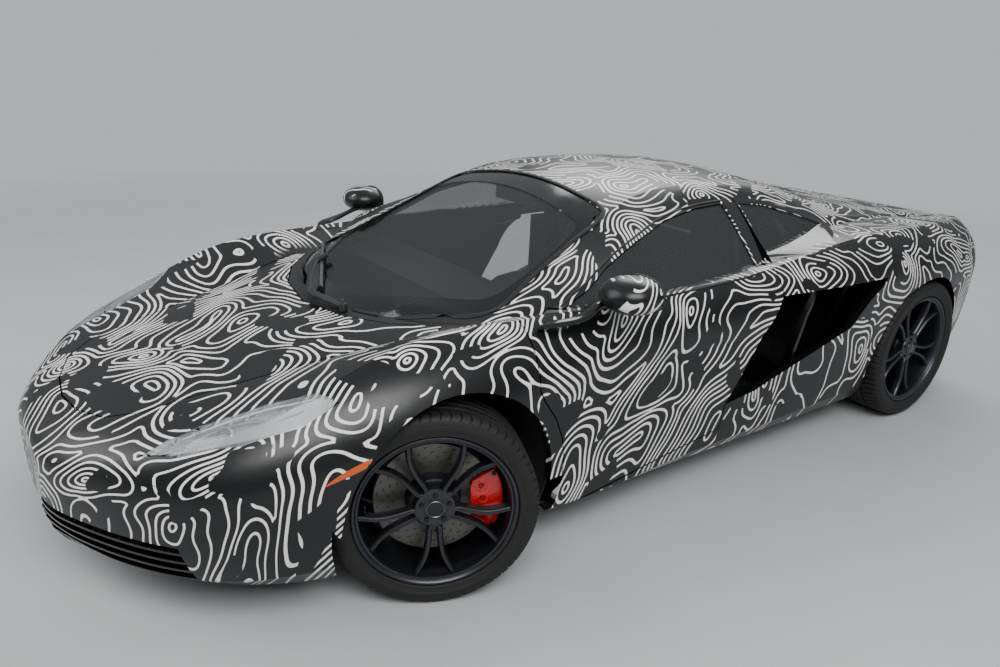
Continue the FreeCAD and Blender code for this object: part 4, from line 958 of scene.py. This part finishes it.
def addWiper():
    tree = surfaceOf("windscreen", "cowl")

    def on(x, y, lift):
        return laid(tree, [(x, y)], "down", lift)[0]
    pieces = []
    line = [on(1.235 - 0.225 * t, -0.02 - 0.48 * t, 0.004)[0] for t in (0, 0.2, 0.4, 0.6, 0.8, 1.0)]
    n0 = on(1.122, -0.26, 0)[1]
    blade = smoothPath(line, 6)
    # rubber lip, its backing, the spoiler over it and the joint to the arm
    pieces.append(swept("rubber", blade, [(-0.0025, 0.0), (0.0025, 0.0), (0.0045, 0.007), (-0.0045, 0.007)],
                        rubberCap, normal=n0))
    pieces.append(swept("spoiler", [p + n0 * 0.0075 for p in blade],
                        [(-0.01, 0.0), (0.008, 0.0), (0.006, 0.006), (0.0, 0.012), (-0.004, 0.007)],
                        trimBlack, normal=n0))
    middle = on(1.122, -0.26, 0.024)[0]
    pivot, knee = Vector(wiper["pivot"]), Vector(wiper["knee"])
    for shift, wide, drop in ((0.0, 0.019, 0.0), (-0.042, 0.012, 0.004)):
        # two arms side by side, from their pivots round the knee to the blade
        root = pivot + Vector((shift * 0.3, shift, -0.002 - drop))
        turn = knee + Vector((shift * 0.45, shift * 0.55, -drop))
        tip = middle + Vector((0.03 + shift * 0.2, 0.03 + shift * 0.8, 0.004))
        line = [root, root.lerp(turn, 0.5) + Vector((0.006, 0, 0.004)), turn + Vector((-0.012, 0.022, 0)),
                turn + Vector((-0.022, -0.01, 0.002)), turn.lerp(tip, 0.5), tip]
        pieces.append(swept("arm", smoothPath(line, 7), roundSection(wide, 0.01, 12, 3.2), trimBlack,
                            normal=(0, 0, 1),
                            grow=lambda t: (1.35 - 0.5 * t, 1.3 - 0.4 * t)))
    turned = Matrix.Translation(middle - n0 * 0.003) @ n0.to_track_quat("Z", "X").to_matrix().to_4x4()
    link = [(-0.034, -0.013), (0.03, -0.012), (0.034, 0.0), (0.03, 0.012), (-0.034, 0.013)]
    pieces.append(slabPiece("link", link, -0.007, 0.009, trimBlack, turned, bevel=0.003))
    upright = Matrix.Rotation(math.pi / 2, 4, "X")
    for shift in (0.0, -0.042):
        spot = Matrix.Translation(pivot + Vector((shift * 0.3, shift, 0.0))) @ upright
        nut = [(-0.018, 0.015), (0.004, 0.0145), (0.009, 0.012), (0.012, 0.006), (0.0125, 0.0002)]
        pieces.append(lathe("cap", nut, 24, trimBlack, spot, closed=False))
    made = merged("wiper_arm_and_blade", *pieces)
    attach(made, "car_body")
    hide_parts("wiper")


addWiper()
print("wiper built")


# Trim laid on the skin: the screen's black border, seals, pillars and the side markers
screenEdge = [(1.271, 0.0), (1.241, 0.2), (1.169, 0.37), (1.039, 0.52), (0.907, 0.612),
              (0.689, 0.572), (0.499, 0.54), (0.321, 0.5), (0.299, 0.3), (0.289, 0.0)]
screenClear = [(1.19, 0.0), (1.165, 0.165), (1.095, 0.31), (0.985, 0.44), (0.875, 0.545),
               (0.69, 0.543), (0.515, 0.512), (0.43, 0.47), (0.412, 0.29), (0.402, 0.0)]
sideGlass = [(0.7275, 0.845), (0.6895, 0.868), (0.4995, 0.938), (0.2895, 1.003), (0.0895, 1.053),
             (-0.1205, 1.078),
             (-0.2905, 1.084), (-0.2725, 0.871), (-0.1205, 0.86), (0.2895, 0.851)]
quarterGlass = [(-0.3805, 0.9), (-0.3985, 1.078), (-0.5605, 1.058), (-0.7405, 1.012), (-0.8805, 0.966),
                (-0.7405, 0.938), (-0.5605, 0.914)]
markerShape = [(1.662, 0.492), (1.612, 0.507), (1.56, 0.524), (1.512, 0.541), (1.5, 0.549), (1.499, 0.562),
               (1.512, 0.566), (1.56, 0.549), (1.612, 0.526)]


def fritMaterial():
    # black ceramic print under glass: glossy, its tone and gloss drifting slightly
    made, tree, shader, place = newMaterial("ceramic_print_under_glass")
    drift = noise(tree, place, 9.0, 3.0)
    coloured(tree, shader, drift, "#0b0c0d", "#131415", (0.1, 0.17))
    return made


frit = fritMaterial()
# extruded rubber seal
sealRubber = plain("extruded_seal_rubber", "#0c0c0d", "#151516", (0.45, 0.6), bump=0.00005, bumpScale=800.0)
# moulded amber acrylic
amber = plain("amber_acrylic", "#b5430f", "#d05a16", (0.08, 0.16), scale=30.0, Coat_Weight=0.5,
              Coat_Roughness=0.05)


def bandPiece(name, outer, inner, tree, way, lift, material, across=6, place=None, loop=True):
    # a strip between two matching outlines, laid on the skin
    verts = []
    for k in range(across + 1):
        row = [tuple(Vector(a).lerp(Vector(b), k / across)) for a, b in zip(outer, inner)]
        verts += [spot for spot, normal in laid(tree, row, way, lift)]
    return meshPiece(name, verts, gridFaces(across + 1, len(outer), loop), material, place)


def flatPath(points, steps=6, loop=False):
    return [(p.x, p.y) for p in smoothPath([(a, b, 0) for a, b in points], steps, loop)]


def onSkin(name, row, section, material, place=None, loop=False):
    # a section carried along laid points, upright on their normals
    return swept(name, [p for p, n in row], section, material, place, normal=lambda i, p: row[i][1],
                 loop=loop)


def sealPiece(name, points, tree, way, lift, section, material, place=None, steps=6):
    return onSkin(name, laid(tree, flatPath(points, steps), way, lift), section, material, place)


def grownLoop(points, by):
    # moves each corner of a loop away from its middle
    count = len(points)
    area = sum(p[0] * q[1] - q[0] * p[1] for p, q in zip(points, points[1:] + points[:1]))
    turn = 1 if area > 0 else -1
    made = []
    for i in range(count):
        a, b, c = (Vector(points[(i + k) % count]) for k in (-1, 0, 1))
        n1 = Vector(((b - a).y, -(b - a).x)).normalized() * turn
        n2 = Vector(((c - b).y, -(c - b).x)).normalized() * turn
        n = (n1 + n2).normalized()
        made.append(tuple(b + n * by / max(0.35, n.dot(n1))))
    return made


def addTrim():
    screen = surfaceOf("windscreen")
    edge, clear = (mirroredLoop(flatPath(half, 5)) for half in (screenEdge, screenClear))
    border = bandPiece("screen_border", edge, clear, screen, "down", 0.0007, frit, 8)
    about = surfaceOf("windscreen", "roof", "cowl", "fender_left", "fender_right")
    seal = sealPiece("screen_seal", mirroredLoop(screenEdge)[1:], about, "down", 0.0016,
                     roundSection(0.019, 0.006, 8, 2.6), sealRubber, steps=5)
    made = merged("screen_border_and_seal", border, seal)
    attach(made, "car_body")

    skin = surfaceOf("roof", "rear_quarter_left")
    quarterSkin = surfaceOf("roof", "rear_quarter_left", "quarter_windows")
    pieces, markers = [], []
    for sign in (1, -1):
        over = grownLoop(sideGlass, 0.009)[:7]
        pieces.append(sealPiece("rail_seal", over, skin, "left", 0.0012, roundSection(0.008, 0.005, 8, 2.6),
                                sealRubber,
                                flip(sign)))
        # gloss black pillar between the two side windows
        front = [(-0.284, 0.874), (-0.29, 0.93), (-0.296, 0.99), (-0.3, 1.05), (-0.301, 1.086)]
        rear = [(-0.372, 0.892), (-0.379, 0.945), (-0.386, 1.000), (-0.39, 1.05), (-0.392, 1.082)]
        pieces.append(bandPiece("pillar", front, rear, skin, "left", 0.0012, glossBlack, 6, flip(sign),
                                loop=False))
        pieces.append(bandPiece("surround", grownLoop(quarterGlass, 0.02), grownLoop(quarterGlass, -0.002),
                                quarterSkin, "left",
                                0.0014, glossBlack, 3, flip(sign)))
    made = merged("side_window_trim", *pieces)
    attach(made, "car_body")

    beltLine = [(0.716, 0.838), (0.5, 0.8405), (0.2895, 0.8435), (0.08, 0.8475), (-0.1205, 0.8525),
                (-0.262, 0.8625)]
    for sign, tag in sides:
        belt = sealPiece("belt_seal_" + tag, beltLine, surfaceOf("door_left"), "left", 0.0005,
                         roundSection(0.009, 0.006, 8, 2.6), sealRubber, flip(sign))
        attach(belt, "door_" + tag)

    bumper = surfaceOf("front_bumper", "fender_left")
    for sign in (1, -1):
        edge = flatPath(markerShape, 4, loop=True)
        rows = [[tuple(Vector(p).lerp(Vector((1.552, 0.537)), k / 4)) for p in edge] for k in range(5)]
        verts = []
        for row, lift in zip(rows, (-0.004, 0.0022, 0.0036, 0.0042, 0.0044)):
            verts += [spot for spot, normal in laid(bumper, row, "left", lift)]
        markers.append(meshPiece("marker", verts, gridFaces(len(rows), len(edge)), amber, flip(sign)))
    made = merged("side_markers", *markers)
    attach(made, "car_body")


addTrim()
print("trim laid")


# Front intakes: a fin core behind the slats
def coreMaterial():
    # aluminium radiator fins, blackened, in fine zigzag rows, with painted shade: the gaps between the fins
    # are coloured near black
    made, tree, shader, place = newMaterial("blackened_fins_and_painted_gap_shade")
    split = node(tree, "SeparateXYZ", {0: place}).outputs
    rows, fins = (maths(tree, "ABSOLUTE", centred(tree, split[way], perMetre)) for way,
                  perMetre in ((2, 110.0), (1, 420.0)))
    high = maths(tree, "MAXIMUM", maths(tree, "GREATER_THAN", rows, 0.36), ramp(tree, fins, 0.2, 0.5))
    # painted shade: near black in the gaps between the fins, dark grey on the blackened fins and tubes
    coloured(tree, shader, high, "#050506", "#2b2c2e", metal=0.6)
    tree.links.new(ramp(tree, high, 0.0, 1.0, 0.7, 0.4), shader.inputs["Roughness"])
    bumped(tree, shader, high, 0.003)
    return made


radiatorFins = coreMaterial()
frontCore = {"x": (1.805, 1.835), "y": (0.175, 0.6), "z": (0.19, 0.34)}


def addCores():
    pieces = []
    for sign in (1, -1):
        (x0, x1), (y0, y1), (z0, z1) = frontCore["x"], frontCore["y"], frontCore["z"]
        place = flip(sign) @ alongX
        pieces.append(slabPiece("core", boxOutline(y0, y1, z0, z1), x0, x1, radiatorFins, place))
        for z in (z0 - 0.004, z1 - 0.006):
            pieces.append(slabPiece("tank", boxOutline(y0 - 0.01, y1 + 0.01, z, z + 0.012), x0 - 0.006,
                                    x1 + 0.006,
                                    trimBlack, place, 0.003))
    made = merged("front_radiators", *pieces)
    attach(made, "car_body")


addCores()


# Seats: two thin buckets with bolsters, in soft leather over foam
seat = {"side": 0.37, "half": 0.238, "foam": 0.86}


def loftPiece(name, loops, material):
    rows, count = len(loops), len(loops[0])
    faces = gridFaces(rows, count) + [tuple(range(count))[::-1],
                                      tuple((rows - 1) * count + k for k in range(count))]
    made = outward(meshPiece(name, [p for loop in loops for p in loop], faces, material))
    smooth = made.modifiers.new("smooth", "SUBSURF")
    smooth.levels = smooth.render_levels = 2
    return made


def addSeats():
    pieces = []
    for sign in (1, -1):
        y0 = seat["side"] * sign
        loops = []
        # cushion stations: x, centre height, bolster rise, half width, underside
        for x, z, rise, half, under in ((0.098, 0.262, 0.006, 0.205, 0.225),
                                        (0.08, 0.312, 0.012, 0.226, 0.205),
                                        (0.01, 0.316, 0.03, 0.236, 0.2), (-0.11, 0.3, 0.052, 0.238, 0.2),
                                        (-0.24, 0.29, 0.062, 0.238, 0.2), (-0.33, 0.3, 0.07, 0.236, 0.2),
                                        (-0.365, 0.32, 0.07, 0.23, 0.215)):
            across = mirroredRow([
                (-half, under), (-half - 0.001, z + rise * 0.5), (-half * 0.93, z + rise),
                (-half * 0.8, z + rise * 0.85), (-half * 0.66, z + 0.004), (-half * 0.35, z - 0.004),
                                  (0, z - 0.006)])
            loops.append([Vector((x, y0 + a, b)) for a, b in across])
        pieces.append(loftPiece("cushion", loops, leather))
        loops = []
        foot, top = Vector((-0.352, 0, 0.3)), Vector((-0.532, 0, 0.985))
        up = (top - foot).normalized()
        ahead = Vector((up.z, 0, -up.x))
        # back stations: share of the height, half width, bolster rise, thickness behind
        for t, half, rise, deep in ((0.0, 0.205, 0.03, 0.085), (0.06, 0.226, 0.05, 0.085),
                                    (0.22, 0.238, 0.064, 0.08),
                                    (0.45, 0.238, 0.062, 0.072), (0.62, 0.228, 0.05, 0.064),
                                    (0.72, 0.196, 0.03, 0.058),
                                    (0.8, 0.142, 0.016, 0.052), (0.9, 0.122, 0.014, 0.05),
                                    (0.97, 0.108, 0.008, 0.044),
                                    (1.0, 0.084, 0.002, 0.03)):
            across = mirroredRow([
                (-half, -deep * 0.4), (-half - 0.001, rise * 0.4), (-half * 0.93, rise),
                                  (-half * 0.78, rise * 0.8),
                (-half * 0.6, 0.006), (-half * 0.3, -0.002), (0, -0.004)])
            across += [(half * 0.7, -deep), (0, -deep * 1.08), (-half * 0.7, -deep)]
            centre = foot.lerp(top, t)
            loops.append([centre + ahead * b + Vector((0, y0 + a, 0)) for a, b in across])
        pieces.append(loftPiece("back", loops, leather))
        # shell foot that carries the seat on the floor
        place = Matrix.Translation((0, y0, 0)) @ alongY
        side = [(0.07, 0.1855), (0.088, 0.23), (-0.34, 0.222), (-0.43, 0.33), (-0.47, 0.33), (-0.455, 0.1855)]
        pieces.append(slabPiece("shell", side, -0.205, 0.205, darkCarbon, place, 0.008))
    made = merged("bucket_seats", *pieces)
    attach(made, "car_body")
    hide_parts("seats")


addSeats()
print("seats built")

# Nose: the round cover of the towing thread
towCover = {"y": 0.655, "z": 0.527, "radius": 0.023}


def addTowCover():
    around = [(towCover["y"] + towCover["radius"] * math.cos(k * math.pi / 16),
               towCover["z"] + towCover["radius"] * math.sin(k * math.pi / 16)) for k in range(32)]
    row = laid(surfaceOf("front_bumper"), around, "front", 0.0002)
    ring = onSkin("tow_cover_joint", row, roundSection(0.0016, 0.0009, 6), trimBlack, loop=True)
    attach(ring, "car_body")


addTowCover()

# Tail: pipes with rolled lips, louvre blades across the mouth, light bars in the lamps
tail = {"pipeY": 0.105, "pipeZ": 0.646, "pipe": 0.052, "wall": 0.004, "front": 1.971, "end": 2.2485,
        "mouth": (0.428, 0.562, 0.798), "sheet": (-2.1085, -2.1065), "blades": 6, "gap": 0.012,
        "blade": ((-2.172, -0.006), (-2.166, -0.009), (-2.12, 0.004), (-2.12, 0.009), (-2.168, -0.002)),
        "lamp": (0.445, 0.64, 0.722, 0.758), "bed": (-2.247, -2.2), "bar": (-2.2538, -2.244),
        "bars": (0.7245, 0.7358, 0.7471), "barHigh": 0.0085}


def meshSheetMaterial():
    # expanded steel sheet, black: rows of six-sided holes, not cut but painted near black as painted shade
    # seen through them
    made, tree, shader, place = newMaterial("black_mesh_and_painted_hole_shade")
    split = node(tree, "SeparateXYZ", {0: place}).outputs
    flat = node(tree, "CombineXYZ", {0: split[1], 1: split[2]}).outputs[0]
    holes = node(tree, "TexVoronoi", {"Vector": flat, "Scale": 95.0, "Randomness": 0.0},
                 voronoi_dimensions="2D", feature="DISTANCE_TO_EDGE").outputs["Distance"]
    solid = ramp(tree, holes, 0.1, 0.14, 1.0, 0.0)
    # painted shade: near black in the holes, the black steel's own tone on the strands
    coloured(tree, shader, solid, "#030303", "#232426")
    tree.links.new(ramp(tree, solid, 0.0, 1.0, 0.9, 0.42), shader.inputs["Roughness"])
    bumped(tree, shader, solid, 0.0015)
    return made


def tipMaterial():
    # brushed stainless, browned by heat towards the inside
    made, tree, shader, place = newMaterial("heat_tinted_stainless")
    along = node(tree, "SeparateXYZ", {0: place}).outputs[0]
    brush = noise(tree, place, 220.0, 2.0)
    heat = ramp(tree, maths(tree, "MULTIPLY_ADD", brush, 0.01, along), -2.245, -2.15)
    coloured(tree, shader, heat, "#9b9ca0", "#4a3d33", metal=1.0)
    tree.links.new(ramp(tree, brush, 0.3, 0.7, 0.22, 0.36), shader.inputs["Roughness"])
    return made


def addTail():
    stainless, expanded = tipMaterial(), meshSheetMaterial()
    pipes = []
    outer, inner = tail["pipe"], tail["pipe"] - tail["wall"]
    end, front = tail["end"], tail["front"]
    profile = [(front, inner), (end - 0.012, inner), (end - 0.003, inner + 0.0005), (end, inner + 0.003),
               (end - 0.001, outer + 0.0005), (end - 0.006, outer + 0.0012), (end - 0.014, outer),
               (front, outer)]
    for sign in (1, -1):
        place = Matrix(((0, -1, 0, 0), (1, 0, 0, tail["pipeY"] * sign), (0, 0, 1, tail["pipeZ"]),
                        (0, 0, 0, 1)))
        pipes.append(shaded(lathe("pipe", profile, 56, stainless, place)))
        # a dark felt disc deep in each pipe: painted shade that closes the view into the pipe
        plug = [(front + 0.02, 0.0005), (front + 0.02, inner - 0.0004), (front + 0.026, inner - 0.0004),
                (front + 0.026, 0.0005)]
        pipes.append(lathe("pipe_shade", plug, 24, linerFelt, place))
    made = merged("exhaust_tips", *pipes)
    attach(made, "car_body")
    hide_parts("exhausts")

    side, low, high = tail["mouth"]
    pieces = []
    # a flat sheet closes the mouth; its painted holes are painted shade standing for the dark inside behind
    # it
    pieces.append(slabPiece("mesh_sheet", boxOutline(-side, side, low, high), *tail["sheet"], expanded,
                            alongX, 0))
    reach = tail["pipe"] + tail["gap"]
    for k in range(tail["blades"]):
        z = low + (high - low) * (k + 0.5) / tail["blades"]
        off = abs(z - tail["pipeZ"])
        cut = math.sqrt(reach ** 2 - off ** 2) if off < reach else 0
        spans = [(-side, side)]
        if cut:
            y = tail["pipeY"]
            spans = [(-side, -y - cut), (-y + cut, y - cut), (y + cut, side)]
        for a, b in spans:
            pieces.append(slabPiece("blade", [(x, z + rise) for x, rise in tail["blade"]], a, b, trimBlack,
                                    alongY, 0.0015))
    made = merged("tail_louvres", *pieces)
    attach(made, "car_body")

    # three glowing bars a side in a black bed, just inside the flat end of the body
    lights = []
    for sign in (1, -1):
        inner, outer, low, high = tail["lamp"]
        bed = boxOutline(inner + 0.0005, outer - 0.0005, low + 0.0005, high - 0.0005)
        lights.append(slabPiece("lamp_bed", bed, *tail["bed"], glossBlack, flip(sign) @ alongX, 0.0015))
        for z in tail["bars"]:
            bar = boxOutline(inner + 0.004, outer - 0.004, z, z + tail["barHigh"])
            lights.append(slabPiece("lamp_bar", bar, *tail["bar"], redLamp, flip(sign) @ alongX, 0.0015))
    made = merged("tail_light_bars", *lights)
    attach(made, "car_body")
    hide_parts("tail_lamps")

    # the frame lines the mouth's edge from inside, flush with the panel
    skin = surfaceOf("tail_panel")
    half = [(-0.43, 0.56), (-0.22, 0.56), (0, 0.56), (0.22, 0.56), (0.43, 0.56), (0.43, 0.68)]
    middle = 0.68
    loop = half + [(-y, 2 * middle - z) for y, z in half]
    row = laid(skin, [(y * 1.012, middle + (z - middle) * 1.05) for y, z in loop], "back", -0.003)
    row = [(Vector((p.x, p.y * 0.976, middle + (p.z - middle) * 0.917)), n) for p, n in row]
    made = onSkin("tail_mouth_frame", row, roundSection(0.009, 0.004, 8, 2.6), glossBlack, loop=True)
    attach(made, "car_body")


addTail()
print("tail fitted")


# Cabin: instrument hood, dials, blank screen and vents
cabin = {
    "hood": (0.215, 0.525), "cheek": 0.014, "dialFace": (0.545, 0.37, 0.742), "dialTilt": -68,
    "dials": ((0.0, 0.062), (0.098, 0.036), (-0.098, 0.036)),
    "screen": (-0.056, 0.056, 0.468, 0.64), "screenX": (0.5335, 0.5395),
    "vents": (-0.5, -0.155, 0.155, 0.575), "ventHalf": 0.045, "ventFoot": (0.5275, 0.672), "fins": 5,
         "finStep": 0.012,
}


def addCabin():
    low, high = cabin["hood"]
    hood = [(0.655, 0.77), (0.6, 0.802), (0.52, 0.812), (0.452, 0.8), (0.446, 0.792), (0.51, 0.796),
            (0.56, 0.78),
            (0.585, 0.74), (0.64, 0.74)]
    cheek = [(0.64, 0.735), (0.64, 0.775), (0.59, 0.802), (0.47, 0.8), (0.53, 0.7), (0.56, 0.69)]
    pieces = [slabPiece("hood", hood, low, high, leather, alongY, 0.01)]
    for y in (low, high - cabin["cheek"]):
        pieces.append(slabPiece("cheek", cheek, y, y + cabin["cheek"], leather, alongY, 0.004))
    made = merged("instrument_hood", *pieces)
    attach(made, "car_body")

    pieces = []
    face = Matrix.Translation(cabin["dialFace"]) @ Matrix.Rotation(math.radians(cabin["dialTilt"]), 4, "Y")
    face = face @ Matrix(((0, -1, 0, 0), (1, 0, 0, 0), (0, 0, 1, 0), (0, 0, 0, 1)))
    for y, r in cabin["dials"]:
        dial = [(y + r * math.cos(k * math.pi / 20), r * math.sin(k * math.pi / 20)) for k in range(40)]
        pieces.append(slabPiece("dial", dial, 0.0, 0.008, glossBlack, face, 0.002))
        ring = [Vector((p, q, 0.009)) for p, q in dial]
        pieces.append(swept("dial_ring", ring, roundSection(0.003, 0.003, 8), darkAlloy, face,
                            normal=(0, 0, 1), loop=True))
    pieces.append(slabPiece("screen", boxOutline(*cabin["screen"]), *cabin["screenX"], glossBlack, alongX,
                            0.002))
    foot, half = cabin["ventFoot"], cabin["ventHalf"]
    for y in cabin["vents"]:
        for k in range(cabin["fins"]):
            rise = k * cabin["finStep"]
            x, z = foot[0] + rise * 0.19, foot[1] + rise
            pieces.append(slabPiece("vent_fin", boxOutline(y - half, y + half, z, z + 0.004), x - 0.012,
                                    x - 0.002,
                                    glossBlack, alongX, 0.001))
    made = merged("dials_screen_and_vents", *pieces)
    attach(made, "car_body")


addCabin()
print("cabin fitted")
